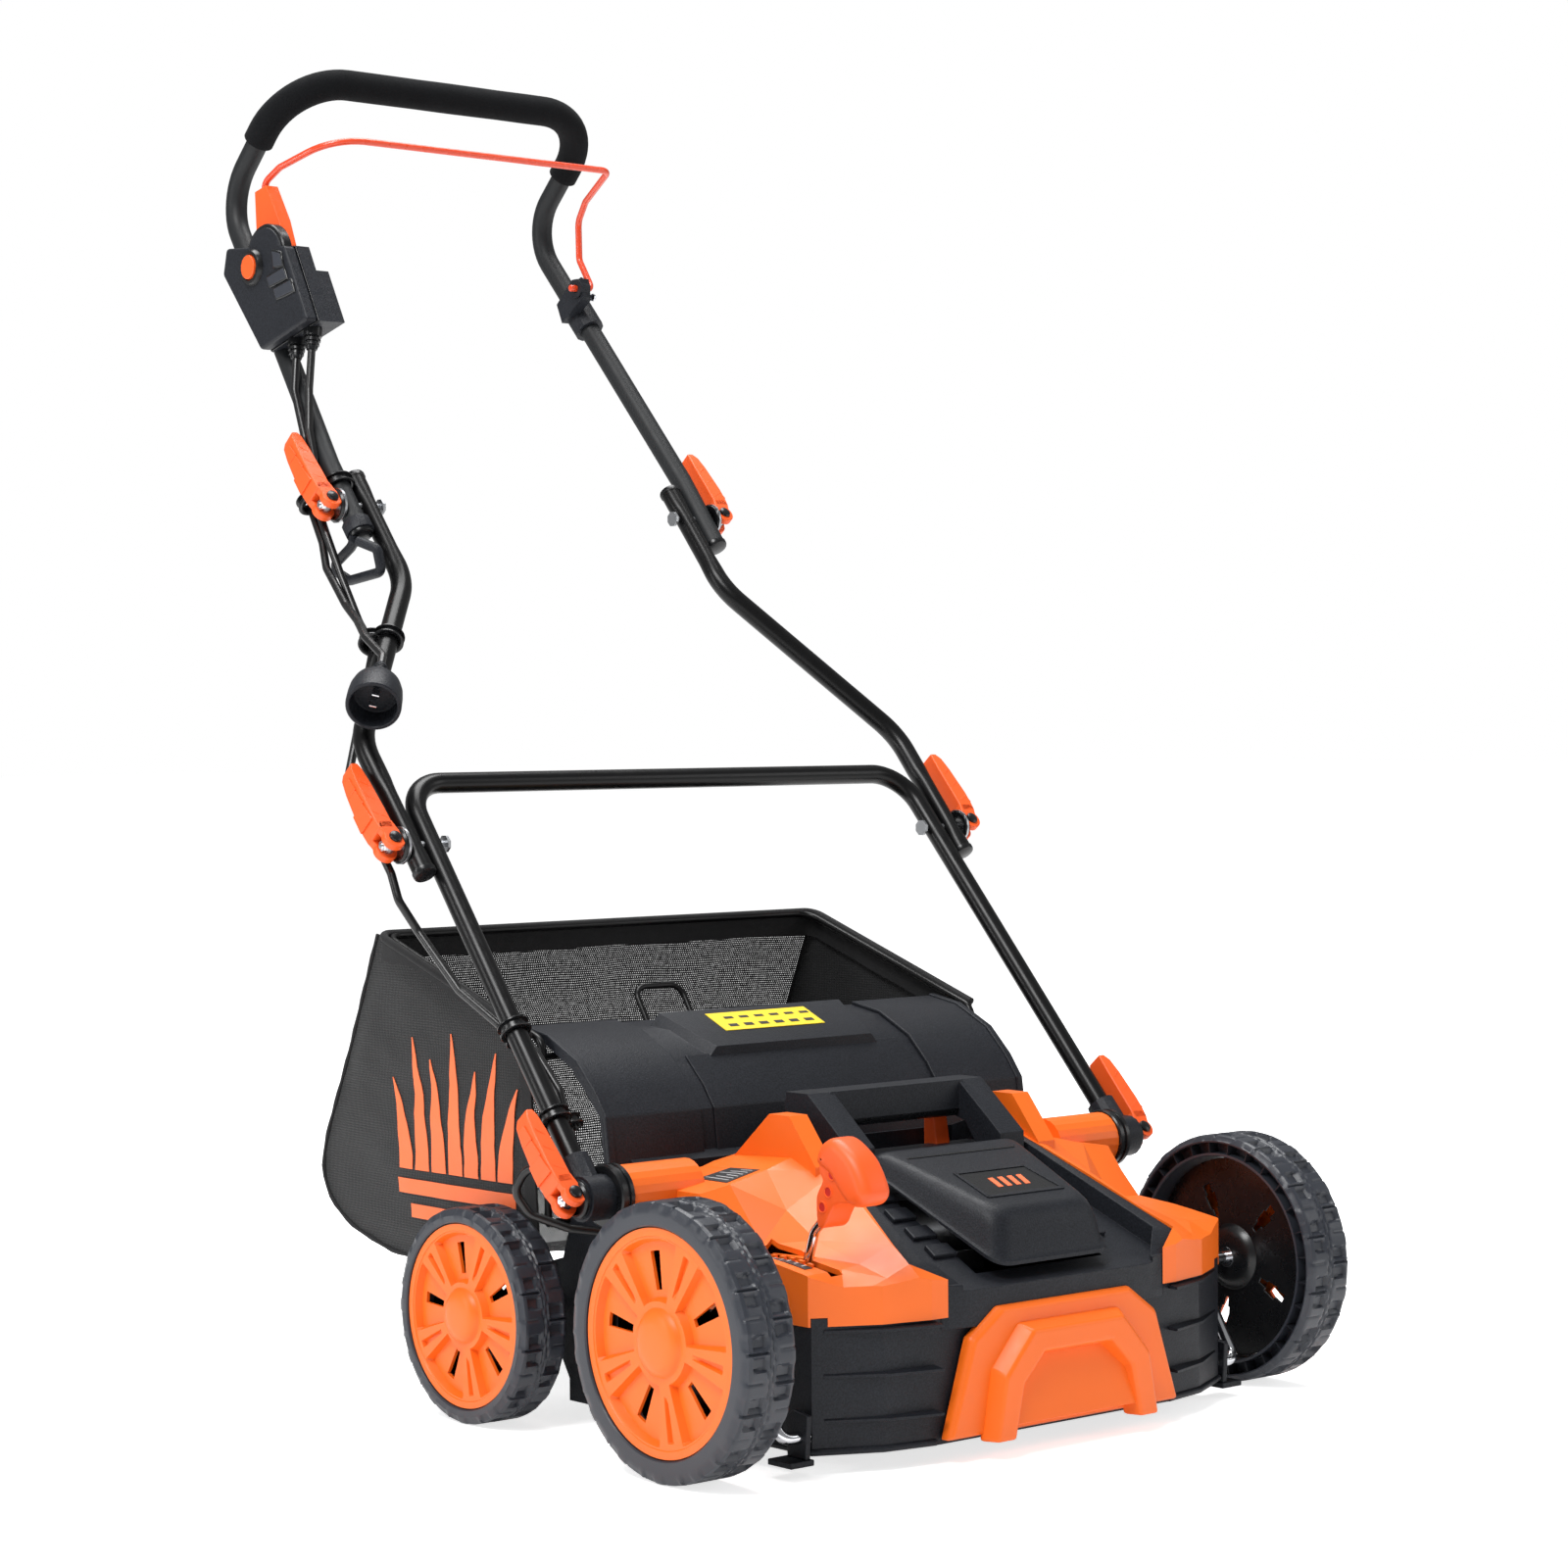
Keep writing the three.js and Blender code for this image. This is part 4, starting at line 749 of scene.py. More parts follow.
def rim(name, side, wheel):
    scale = wheel["rim"] / 82.0
    radii = [r * scale for r in filled_in([0, 8, 14, 18, 21, 22.6, 23.8, 24.5, 25.2, 29.7, 32.3, 36.2, 37.2,
                                           65, 66.5, 69.4, 70.6, 71.2, 73.8, 75.2, 75.8, 81.6], 9)]
    half = [0, 4.6, 8.4, 15, 23.2, 25.6, 30, 33.2, 34.4, 36]
    turns = filled_in([-t for t in reversed(half[1:])] + half, 4.5)

    def slot(r, turn):
        return abs(turn) < 4.6 and 36.8 < r / scale < 65.4

    body = f"{name}_wheel_{side}"
    face = disc(f"rim_face_{name}_{side}", body, side, wheel, radii, turns, rim_height(scale), slot,
                wheel["outer"] - 2.9, 3.0, ORANGE, 172)
    stands_for(face, f"{name}_rim_{side}")

    def inner_height(r, turn):
        return 0.0 if r > 26 else -7.0 * (1 - (r / 26) ** 6)

    def clip_hole(r, turn):
        return -5 < turn < 2 and 34 < r / scale < 62 or -8 < turn < 4 and 42 < r / scale < 54

    back_radii = [r * scale for r in filled_in([7, 14, 22, 26, 34, 42, 54, 62, 80], 6)]
    disc(f"rim_back_{name}_{side}", body, side, wheel, back_radii, filled_in([-36, -8, -5, 2, 4, 36], 6),
         inner_height, clip_hole, wheel["inner"] + 19, 2.0, GLOSSY, 190)
    s = SIDES[side]
    hub = at(s * (wheel["inner"] + 13), wheel["y"], wheel["z"])
    spun(f"hub_washer_{name}_{side}", [(4, 3), (4, -3.2), (8, -3.2), (8.4, -2.4), (8.4, -1), (11.5, -1),
                                       (12, -0.4), (12, 1), (16, 1), (16.5, 1.5), (16.5, 3.2)], hub,
         (s, 0, 0), CHROME, body, 40)
    spun(f"hub_core_{name}_{side}", [(7, 0), (17, 0), (18, 6), (17, 28), (6, 28)],
         at(s * (wheel["inner"] + 15), wheel["y"], wheel["z"]), (s, 0, 0), GLOSSY, body, 32)


for place, wheel in WHEELS.items():
    for side in SIDES:
        tyre(place, side, wheel)
        rim(place, side, wheel)

# ---------- collection bag ----------
BAG_HALF = 235.0
SIDE_MIDDLE = (390, 225)
WRAP_POINTS, BAG_COLUMNS, SIDE_RINGS = 57, 33, 16
BAG_WRAP = [(243, 137), (300, 130), (330, 116), (400, 108), (440, 109), (500, 124), (530, 142), (544, 166),
            (536, 196), (500, 270), (459, 366)]
RIM_BACK, RIM_FRONT, FLOOR_FRONT = Vector((459, 366)), Vector((254, 296)), Vector((243, 137))


def spaced(points, count):
    """count points at even steps along a line of (y, z) pairs, with its corners slightly rounded."""
    lengths = [0.0]
    for a, b in zip(points, points[1:]):
        lengths.append(lengths[-1] + math.dist(a, b))
    made = []
    for i in range(count):
        d = lengths[-1] * i / (count - 1)
        k = max(j for j in range(len(lengths) - 1) if lengths[j] <= d + 1e-9)
        t = (d - lengths[k]) / (lengths[k + 1] - lengths[k])
        made.append([points[k][0] + (points[k + 1][0] - points[k][0]) * t,
                     points[k][1] + (points[k + 1][1] - points[k][1]) * t])
    for _ in range(2):
        made = [made[0]] + [[(made[i - 1][j] + 2 * made[i][j] + made[i + 1][j]) / 4 for j in (0, 1)]
                            for i in range(1, len(made) - 1)] + [made[-1]]
    return made, lengths[-1]


bag_wrap, BAG_WRAP_LENGTH = spaced(BAG_WRAP, WRAP_POINTS)


def wrinkle(u, v, seed):
    """Soft folds, in millimetres."""
    large = noise.noise(Vector((u * 2.1, v * 5.5, seed)))
    small = noise.noise(Vector((u * 6, v * 13, seed + 7)))
    return 2.6 * large + 1.2 * small


def side_bulge(y, z):
    """How far the side panel stands out from the bag's own side, in millimetres: slack in the middle."""
    low = min(1.0, math.dist((y, z), SIDE_MIDDLE) / 165)
    return 7.0 * (1 - low * low) + wrinkle(y / 200, z / 200, 3.0) * (1 - low ** 4) - 1.0


def bag_shell():
    """The wrap that goes under and behind, and two side panels sewn to it."""
    mesh = bmesh.new()
    flat = mesh.loops.layers.uv.new("flat")
    grid = []
    for i, (y, z) in enumerate(bag_wrap):
        t = i / (len(bag_wrap) - 1)
        row = []
        for j in range(BAG_COLUMNS):
            u = 2 * j / (BAG_COLUMNS - 1) - 1
            slack = (1 - u ** 4) * (1 - u * u * 0.3)
            near_rim = min(1, (1 - t) / 0.06) * min(1, t / 0.05)
            out = slack * near_rim * (5.5 + wrinkle(u * 1.5, t * 3, 1.0) * 1.6)
            ahead = bag_wrap[min(i + 1, len(bag_wrap) - 1)]
            behind = bag_wrap[max(i - 1, 0)]
            dy, dz = ahead[0] - behind[0], ahead[1] - behind[1]
            size = math.hypot(dy, dz)
            row.append((mesh.verts.new(at(u * BAG_HALF, y + dz / size * out, z - dy / size * out)),
                        (t * BAG_WRAP_LENGTH * MM, u * BAG_HALF * MM)))
        grid.append(row)

    def face(corners, material):
        made = mesh.faces.new([c[0] for c in corners])
        made.material_index = material
        for loop, corner in zip(made.loops, corners):
            loop[flat].uv = corner[1]

    for a, b in zip(grid, grid[1:]):
        for j in range(BAG_COLUMNS - 1):
            face([a[j], a[j + 1], b[j + 1], b[j]], 0)
    for s, column in ((-1, 0), (1, BAG_COLUMNS - 1)):
        edge = [row[column][0] for row in grid]
        spots = [(v.co.y / MM + CENTRE_Y, v.co.z / MM) for v in edge]
        top = [tuple(RIM_FRONT + (RIM_BACK - RIM_FRONT) * i / 14) for i in range(15)]
        front = [tuple(FLOOR_FRONT + (RIM_FRONT - FLOOR_FRONT) * i / 8) for i in range(9)]
        outline = list(zip(edge, spots))
        outline += [(mesh.verts.new(at(s * BAG_HALF, *yz)), yz) for yz in top[-2::-1] + front[-2:0:-1]]
        rings = [outline]
        for k in range(1, SIDE_RINGS):
            t = k / SIDE_RINGS
            spots = [(y + (SIDE_MIDDLE[0] - y) * t, z + (SIDE_MIDDLE[1] - z) * t) for _, (y, z) in outline]
            out = [BAG_HALF + max(side_bulge(*p), -2) * min(1, t * 6) for p in spots]
            rings.append([(mesh.verts.new(at(s * x, *p)), p) for x, p in zip(out, spots)])
        hub = (mesh.verts.new(at(s * (BAG_HALF + side_bulge(*SIDE_MIDDLE)), *SIDE_MIDDLE)), SIDE_MIDDLE)
        n = len(outline)

        def sewn(corners):
            flat_corners = [(v, (p[0] * MM, p[1] * MM)) for v, p in corners]
            face(flat_corners if s > 0 else flat_corners[::-1], 1)

        for a, b in zip(rings, rings[1:]):
            for j in range(n):
                sewn([a[j], a[(j + 1) % n], b[(j + 1) % n], b[j]])
        for j in range(n):
            sewn([rings[-1][j], rings[-1][(j + 1) % n], hub])
    bmesh.ops.recalc_face_normals(mesh, faces=mesh.faces)
    made = bpy.data.meshes.new("bag_shell")
    mesh.to_mesh(made)
    mesh.free()
    obj = link_object("bag_shell", made, [NETTING, DENSE_NETTING], "bag", 60)
    return stands_for(obj, "bag_fabric")


def strip(name, line, width_dir, width, material, body, thick=1.6):
    """A sewn band: a flat ribbon along points in metres, width_dir being the way it hangs."""
    rings = []
    for i, p in enumerate(line):
        ahead = (line[min(i + 1, len(line) - 1)] - line[max(i - 1, 0)]).normalized()
        hang = Vector(width_dir)
        hang = (hang - ahead * hang.dot(ahead)).normalized()
        out = ahead.cross(hang) * (thick / 2 * MM)
        drop = hang * (width * MM) * (1 + 0.06 * noise.noise(p * 60))
        rings.append([p + out, p + drop + out * 0.8, p + drop - out * 0.8, p - out])
    return stacked(name, rings, material, body, 0.5, 2, 40)


bag = bag_shell()
rim_line = two_sided([at(-BAG_HALF, *RIM_FRONT), at(-BAG_HALF, *RIM_BACK)])
strip("bag_rim_hem", dense(rounded(rim_line, 12, 5), 0.02), (0, 0.15, -1), 21, HEM, "bag", 2.8)
bent_pipe("bag_rim_roll", rim_line, 12, 0.012, 3.4, HEM, "bag", 14, 5)
for side, s in SIDES.items():
    front_edge = [at(s * BAG_HALF, *FLOOR_FRONT), at(s * BAG_HALF, *RIM_FRONT)]
    strip("bag_front_hem_" + side, dense(front_edge, 0.02), (0, 1, 0), 15, HEM, "bag", 2.4)
    seam = [at(s * (BAG_HALF + 0.5), y, z) for y, z in bag_wrap]
    pipe("bag_seam_" + side, seam, [1.7 + 0.35 * math.sin(i * 1.9) for i in range(len(seam))],
                     HEM, "bag", 8)


PRINT_CELLS = (4, 14)


def patch(name, place):
    """A shape printed on the bag's left side: place(u, v), both 0 to 1, gives its (y, z) points."""
    verts = []
    n, m = PRINT_CELLS
    for y, z in (place(i / n, j / m) for i in range(n + 1) for j in range(m + 1)):
        bulge = max(side_bulge(y, z), -2)
        verts += [at(-(BAG_HALF + bulge + lift), y, z) for lift in (0.5, 1.0)]
    build(name, verts, plate_faces(n, m), PRINT, "bag", 40)


# A generic tuft of grass over two rows of bars.
TUFT = ((282, -16, 74), (303, -9, 100), (325, -5, 84), (346, 3, 112), (368, 9, 90), (390, 14, 106),
        (412, 20, 72))
for k, (foot, lean, tall) in enumerate(TUFT):
    patch(f"bag_print_blade_{k}", lambda u, v: (
        foot + lean * v * v + (2 * u - 1) * (8.6 * (1 - v ** 1.7) + 0.5), 180 + tall * v))
BARS = ((270, 424, 160, 172), (282, 332, 141, 152), (340, 408, 141, 152))
for k, (start, end, low, high) in enumerate(BARS):
    patch(f"bag_print_bar_{k}", lambda u, v: (start + (end - start) * v, low + (high - low) * u))

# ---------- cables ----------
# The power lead's free part and the motor cable repeat the routes of the part's own solids.
CABLE_R = 3.4
UPPER_SIDE, MIDDLE_SIDE = -210, -300.5
CLIP = (-221, 483, 600)


def beside(x, joint, up, back):
    return at(x, joint[1], joint[2]) + UP * (up * MM) + BACK * (back * MM)


PLUG_AXIS = Vector((-0.555, -0.64, -0.53)).normalized()
PLUG_FACE = at(-294, 376, 551)


def plug_at(back):
    return PLUG_FACE - PLUG_AXIS * (back * MM)


def cable_route(*points):
    """A smooth line through the route's corners."""
    return dense(rounded(list(points), 13, 6), 0.004)


def cable_piece(name, route, body=None, blend=None, node=None):
    made = pipe(name, route, CABLE_R, CABLE, body, 14)
    if blend:
        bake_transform(made)
    return stands_for(made, node) if node else made


motor_gland, lead_gland = at(-190, 616.5, 870.5), at(-190, 641, 864)
upper_motor_end = beside(-205.5, UPPER, 24, 17.3)
upper_lead_end = beside(-205.5, UPPER, 24, 26.3)
cable_piece("motor_cable_top", cable_route(motor_gland, at(-199, 609, 822), beside(-205.8, UPPER, 74, -14),
                                           beside(-205.8, UPPER, 50, -4), upper_motor_end),
            "upper_body", node="handle_cables")
cable_piece("power_lead_top", cable_route(lead_gland, at(-200, 630, 822), beside(-205.8, UPPER, 74, -5),
                                          beside(-205.8, UPPER, 52, 6), upper_lead_end), "upper_body")
across_upper = (beside(-205, UPPER, 14, 24), beside(-205, UPPER, -26, 24))
across_middle = (beside(-300, MIDDLE, 26, 20), beside(-300, MIDDLE, -30, 24))
cable_piece("motor_cable_bend", cable_route(upper_motor_end, beside(-205, UPPER, 20, 20),
                                            beside(UPPER_SIDE, UPPER, -14, 20), at(-211, 543.5, 659),
                                            at(-210, 520, 622), at(*CLIP)),
            blend=("upper_body", "middle_body", *across_upper), node="motor_cable_middle")
cable_piece("motor_cable_side", cable_route(
    at(*CLIP), at(-250, 456.7, 552), beside(-296, MIDDLE, 88, 20), beside(MIDDLE_SIDE, MIDDLE, 40, 20),
    beside(MIDDLE_SIDE, MIDDLE, -12, 20), beside(MIDDLE_SIDE, MIDDLE, -34, 26), at(-287, 327, 376),
    at(-282, 279.7, 332.2), at(-272, 241, 307)),
    blend=("lower_handle_body", "middle_body", across_middle[1], across_middle[0]), node="motor_cable_lower")
cable_piece("motor_cable_foot", cable_route(
    *places((-272, 241, 307), (-260, 214, 290), (-257, 186, 260), (-257, 169, 220), (-262, 176, 208),
            (-276, 205, 200), (-280, 214, 184), (-270, 208, 166), (-246, 190, 155), (-217, 171.9, 150.5))),
    blend=("deck", "lower_handle_body", at(-262, 176, 208), at(-257, 186, 262)), node="motor_cable_loop")

lead_path = cable_route(upper_lead_end, beside(-205, UPPER, 20, 29), beside(UPPER_SIDE, UPPER, -16, 29),
                        *places((-216, 559, 668), (-219, 526, 636), (-229, 494, 622), (-243, 462, 608)),
                        plug_at(78), plug_at(60))
lead = cable_piece("power_lead_free", lead_path, node="power_lead")
plug_profile = [(0, -62), (4.6, -62), (5.6, -58)]
for k in range(5):
    plug_profile += [(6.3, -57 + k * 2.6), (6.3, -55.9 + k * 2.6), (5.2, -55.6 + k * 2.6),
                     (5.2, -54.6 + k * 2.6)]
plug_profile += [(8.4, -43), (9.2, -41), (12.5, -38.5), (16.5, -34), (19.4, -29), (21.2, -22), (21.9, -14),
                 (22.2, -3), (22.0, -0.8), (21.2, 0), (19.6, 0), (18.9, -0.8), (18.5, -12), (17.8, -20),
                 (16.5, -21), (0, -21)]
plug = spun("plug_cup", plug_profile, PLUG_FACE, PLUG_AXIS, BLACK, "middle_body", 56)
stands_for(plug, "power_plug")
pin_side = PLUG_AXIS.cross(Vector((0.35, 0.1, 1))).normalized()
pin_up = PLUG_AXIS.cross(pin_side).normalized()
for k in (-1, 1):
    foot = plug_at(21) + pin_up * (k * 5.2 * MM)
    corners = [foot + pin_side * (a * 3.1 * MM) + pin_up * (b * 0.8 * MM) + PLUG_AXIS * (c * MM)
               for a in (-1, 1) for b in (-1, 1) for c in (0, 13)]
    round_edges(boxes(f"plug_pin_{k + 1}", corners, CHROME, "middle_body"), 0.5, 2)
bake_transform(lead)


BAND_HEIGHT, BAND_WALL, BAND_LIP = 8.5, 1.6, 2.6


def band(name, centre, axis, inner, material, body):
    """A moulded ring round a tube or a pair of cables, with a lip at each edge."""
    h = BAND_HEIGHT / 2
    wall = inner + BAND_WALL
    lip = wall + BAND_LIP
    profile = [(inner, -h), (lip - 0.5, -h), (lip, -h + 0.5), (lip, -h + 1.4), (wall, -h + 2.0),
               (wall, h - 2.0), (lip, h - 1.4), (lip, h - 0.5), (lip - 0.5, h), (inner, h), (inner, -h)]
    return spun(name, profile, centre, axis, material, body, 36)


def cable_clip(name, tube_start, tube_axis, tube_r, cable_centre, cable_r, body):
    """Two rings and a bridge, where the tube passes the cables' centre."""
    tube_centre = tube_start + tube_axis * (cable_centre - tube_start).dot(tube_axis)
    band(f"{name}_tube_ring", tube_centre, tube_axis, tube_r + 0.2, GLOSSY, body)
    band(f"{name}_cable_ring", cable_centre, tube_axis, cable_r, GLOSSY, body)
    reach = (cable_centre - tube_centre).normalized()
    ends = [tube_centre + reach * (tube_r + 0.8) * MM, cable_centre - reach * (cable_r - 0.4) * MM]
    pipe(f"{name}_bridge", ends, 3.0, GLOSSY, body, 12)


cable_clip("clip_upper", mirrored(upper_foot), mirrored((upper_knee - upper_foot).normalized()), UPPER_R,
            beside(-207, UPPER, 24, 21.8), 8.6, "upper_body")
slant = (at(-173, 508, 656) - at(-287, 404, 524)).normalized()
cable_clip("clip_middle", at(-287, 404, 524), slant, MIDDLE_R, at(-222, 480, 604), 9.0, "middle_body")
leg_axis = mirrored(leg_slope)
for label, centre, hold in (("clip_leg", at(-266, 228, 299), 6.0), ("clip_foot", at(-257, 172, 238), 4.2)):
    cable_clip(label, mirrored(leg_foot), leg_axis, LOWER_R, centre, hold, "lower_handle_body")
for label, place, along in (("motor", motor_gland, at(-199, 609, 822) - motor_gland),
                            ("lead", lead_gland, at(-200, 630, 822) - lead_gland)):
    spun(f"gland_{label}", [(3.4, 15), (4.6, 14.6), (5.2, 12.5), (5.2, 11.2), (6.4, 10.9), (6.4, 9.3),
                            (5.2, 9), (5.2, 7.6), (7.2, 7.2), (7.2, 5.2), (5.6, 4.8), (5.6, 3.4), (8.0, 3),
                            (8.0, -5)], place, along, GLOSSY, "upper_body", 32)

# ---------- deck ----------
TREES = {}


def surface_of(node):
    """The CAD node's surface, for laying small pieces on it."""
    if node not in TREES:
        source = frame["nodes"][node]
        matrix = source.matrix_world
        TREES[node] = BVHTree.FromPolygons([matrix @ v.co for v in source.data.vertices],
                                           [tuple(p.vertices) for p in source.data.polygons])
    return TREES[node]


def laid(name, node, corners, material, lift=0.5, thick=0.6, fine=6, width=0.15):
    """A thin patch laid on a CAD node: its corners are machine points that are cast down onto it."""
    a, b, c, d = [at(*p) for p in corners]
    down = Vector((0, 0, -1))
    tree = surface_of(node)
    verts = []
    for u, v in ((i / fine, j / fine) for i in range(fine + 1) for j in range(fine + 1)):
        p = (a * (1 - u) + b * u) * (1 - v) + (d * (1 - u) + c * u) * v
        hit, normal, _, _ = tree.ray_cast(p, down)
        if hit is None:
            hit, normal, _, _ = tree.find_nearest(p)
        if normal.z < 0:
            normal = -normal
        verts += [hit + normal * ((lift - thick) * MM), hit + normal * (lift * MM)]
    made = build(name, verts, plate_faces(fine, fine), material, BODY_OF[node], 30)
    return round_edges(made, width, 2) if width else made


def tile(x0, x1, y0, y1, z):
    """The corners of a rectangle at one height."""
    return [(x0, y0, z), (x0, y1, z), (x1, y1, z), (x1, y0, z)]


rework("deck_housing", width=1.0)
rework("top_cover", width=2.4, segments=4)
for side in SIDES:
    rework("side_panel_" + side, width=2.6, segments=4, angle=11, smooth=11)


def front_ring(half, y, s=1):
    """A ring of points at one y, from the (x, z) corners of its right half, or turned round for s = -1."""
    return two_sided([at(s * x, y, z) for x, z in half])


BUMPER, BUMPER_FACE = [(120, 18), (97, 90), (69, 110)], [(117, 20), (94, 87.5), (66, 107)]
bumper_rings = [front_ring(BUMPER, -84), front_ring(BUMPER, -91), front_ring(BUMPER_FACE, -95.5)]
bumper = stacked("bumper_base", bumper_rings, ORANGE, "deck", 1.8, 3, 30)
stands_for(bumper, "front_bumper")
ARCH_OUT, ARCH_IN = [(89, 14), (80, 66), (52, 97)], [(63, 14), (54, 52), (33, 73)]


def arch_ring(y, outset, inset):
    """The arch's section at one y: its outer line drawn in by outset and its inner line grown by inset."""
    outer = [(x - outset, z - (outset if k else 0)) for k, (x, z) in enumerate(ARCH_OUT)]
    inner = [(x + inset, z + (inset if k else 0)) for k, (x, z) in enumerate(ARCH_IN)]
    return front_ring(outer, y) + front_ring(inner, y, -1)


arch_rings = [arch_ring(-92, 0, -2), arch_ring(-97, 0.5, -1), arch_ring(-108, 5.5, 2.5)]
stacked("bumper_arch", arch_rings, ORANGE, "deck", 2.4, 4, 30)
panel_face = two_sided([at(x, -97 - 8 * (1 - (z - 24) / 50), z) for x, z in ((63, 24), (55, 52), (34, 73))])
stacked("bumper_panel", [front_ring([(64, 24), (56, 52), (36, 74)], -90), panel_face], ORANGE, "deck", 0.8, 2,
        30)


def hood_outline(inset, rise):
    """A ring of the hood: inset from its widest outline, at a part of the way from its rim to its top."""
    corners = [Vector(c) for c in ((57 - inset, inset - 80), (78 - inset, 43 - inset),
                                   (inset - 78, 43 - inset), (inset - 57, inset - 80))]
    made = []
    for k, corner in enumerate(corners):
        reach = 15 if k in (0, 3) else 11
        back = corner + (corners[k - 1] - corner).normalized() * reach
        ahead = corner + (corners[(k + 1) % 4] - corner).normalized() * reach
        for step in range(7):
            t = step / 6
            made.append(back * (1 - t) ** 2 + corner * (2 * t * (1 - t)) + ahead * t ** 2)
    low = [138 + (p.y + 80) * 64 / 123 for p in made]
    high = [176 + (p.y + 72) * 38 / 112 for p in made]
    return [at(p.x, p.y, a + (b - a) * rise) for p, a, b in zip(made, low, high)]


HOOD_STEPS = ((-3, 0.0), (-3, 0.08), (-1, 0.12), (0, 0.2), (2.5, 0.55), (4.4, 0.74), (6.4, 0.86), (9.2, 0.95),
              (12.4, 0.99), (15.5, 1.0))
hood = stacked("hood_shell", [hood_outline(*step) for step in HOOD_STEPS], BLACK, "deck", smooth=30)
stands_for(hood, "motor_hood")
rework("carry_handle", width=4.0, segments=4)
rework("electric_motor", width=0.8)
rework("drive_belt", BELT, width=0)
for name in ("motor_pulley", "rotor_pulley"):
    rework(name, width=0.5)
rework("rotor_core", GLOSSY, width=0.6)
rework("rear_axle", CHROME, width=0.4)
knob_stem = curved([(-45, 176), (-43, 190), (-44, 200), (-50, 210), (-46, 217), (-50, 231), (-60, 232),
                    (-80, 212), (-85, 201), (-77, 196), (-64, 194), (-57, 186), (-52, 178)], 3)
knob = cushion("knob_stem", knob_stem, -202, -178, 2.0, LEVER_RED, "height_crank")
stands_for(knob, "height_knob")
knob_cap = curved([(-44, 221), (-45, 231), (-51, 238), (-61, 241), (-73, 236), (-86, 226), (-96, 210),
                   (-97, 201), (-91, 195), (-79, 194), (-69, 201), (-57, 214)], 4)
cushion("knob_cap", knob_cap, -204.5, -175.5, 8.5, LEVER_RED, "height_crank")
for side in SIDES:
    rework("rotor_bearing_" + side, width=0.6)

# Seen from above: the deck's bottom edge, and the inner and outer edge of the fins on its front corners.
DECK_EDGE = [(213, 200), (213, -50), (165, -74), (122, -82)]
FIN_INNER, FIN_OUTER = [(205, -54), (165, -74), (122, -82)], [(122, -91.5), (163.5, -79.5), (205, -54.6)]
for side, s in SIDES.items():
    for k, z in enumerate((101, 69, 37)):
        low = [at(s * x, y, z) for x, y in FIN_INNER + FIN_OUTER]
        high = [at(s * x, y, z + 3.2) for x, y in FIN_INNER] + [at(s * x, y, z + 2.0) for x, y in FIN_OUTER]
        stacked(f"corner_fin_{side}_{k}", [low, high], BLACK, "deck", 0.9, 2)
    lip = [at(s * x, y, 16.5) for x, y in DECK_EDGE]
    pipe("bottom_lip_" + side, dense(lip, 0.02), 2.6, BLACK, "deck", 10)
    # The bracket that the height crank turns in.
    prism("crank_bracket_" + side, [(-52, 12), (-32, 12), (-30, 40), (-38, 47), (-54, 44)], s * 216, s * 221,
          BLACK, "deck", 1.0)
    prism("crank_foot_" + side, [(-54, 8), (-28, 8), (-28, 12.5), (-54, 12.5)], s * 214, s * 236, BLACK,
          "deck", 0.8)
    # Ribbed collar between the panel's boss and the handle's bracket.
    spun("boss_collar_" + side, [(14, 0), (23, 0), (24, 1), (24, 4), (22.6, 4.6), (22.6, 7), (24, 7.6),
                                 (24, 11), (22.4, 12), (14, 12)], at(s * 255.4, *LOWER[1:]), ACROSS * s,
         GLOSSY, "lower_handle_body", 48)

# The knob's grip holes: each is a flat dark red disc that paints the shade inside the hole, under a raised
# rim.
for k, (y, z) in enumerate([(-61, 215), (-57, 202.5), (-50.5, 191)]):
    spun(f"knob_hole_{k}", [(0, 0.2), (3.3, 0.2)], at(-202.1, y, z), (-1, 0, 0), PAINTED_HOLE_SHADE, "height_crank", 24)
    spun(f"knob_hole_rim_{k}", [(3.2, 0.2), (3.5, 0.9), (4.1, 0.9), (4.5, -0.6)], at(-202.1, y, z),
         (-1, 0, 0), LEVER_RED, "height_crank", 28)

# Height scale: a dark strip with pale ticks beside the slot, and the slot's teeth.
laid("height_scale", "side_panel_left", tile(-199, -206.5, -36, 24, 260), INK)
for k in range(7):
    y = -30 + 8 * k
    laid(f"height_tick_{k}", "side_panel_left", tile(-200, -204, y, y + 1.4, 260), PALE, lift=0.8, fine=2,
         width=0)
for k in range(6):
    y = -34 + 10 * k
    laid(f"slot_tooth_{k}", "side_panel_left", tile(-198.6, -195.8, y, y + 5, 260), ORANGE, lift=2.2, thick=3,
         fine=2)
# A plain rating plate: grey lines only.
laid("rating_plate", "side_panel_left", tile(-152, -184, 78, 112, 290), INK)
for k in range(6):
    x = -156 - 4.6 * k
    stop = 94 + 7 * ((k * 7) % 3)
    laid(f"rating_line_{k}", "side_panel_left", tile(x, x - 1.0, 81, stop, 290), PALE, lift=0.75, fine=3,
         width=0)


# Hood: a framed panel near the front of its top, with a generic mark of slanted bars, and a seam line.
def on_hood(u, v):
    low = Vector((u * 50, -72, 176))
    high = Vector((u * 69, 40, 214))
    p = low.lerp(high, v)
    return (p.x, p.y, p.z + 20)


def hood_quad(u0, u1, v0, v1, slant=0.0):
    return [on_hood(u0, v0), on_hood(u1, v0), on_hood(u1 + slant, v1), on_hood(u0 + slant, v1)]


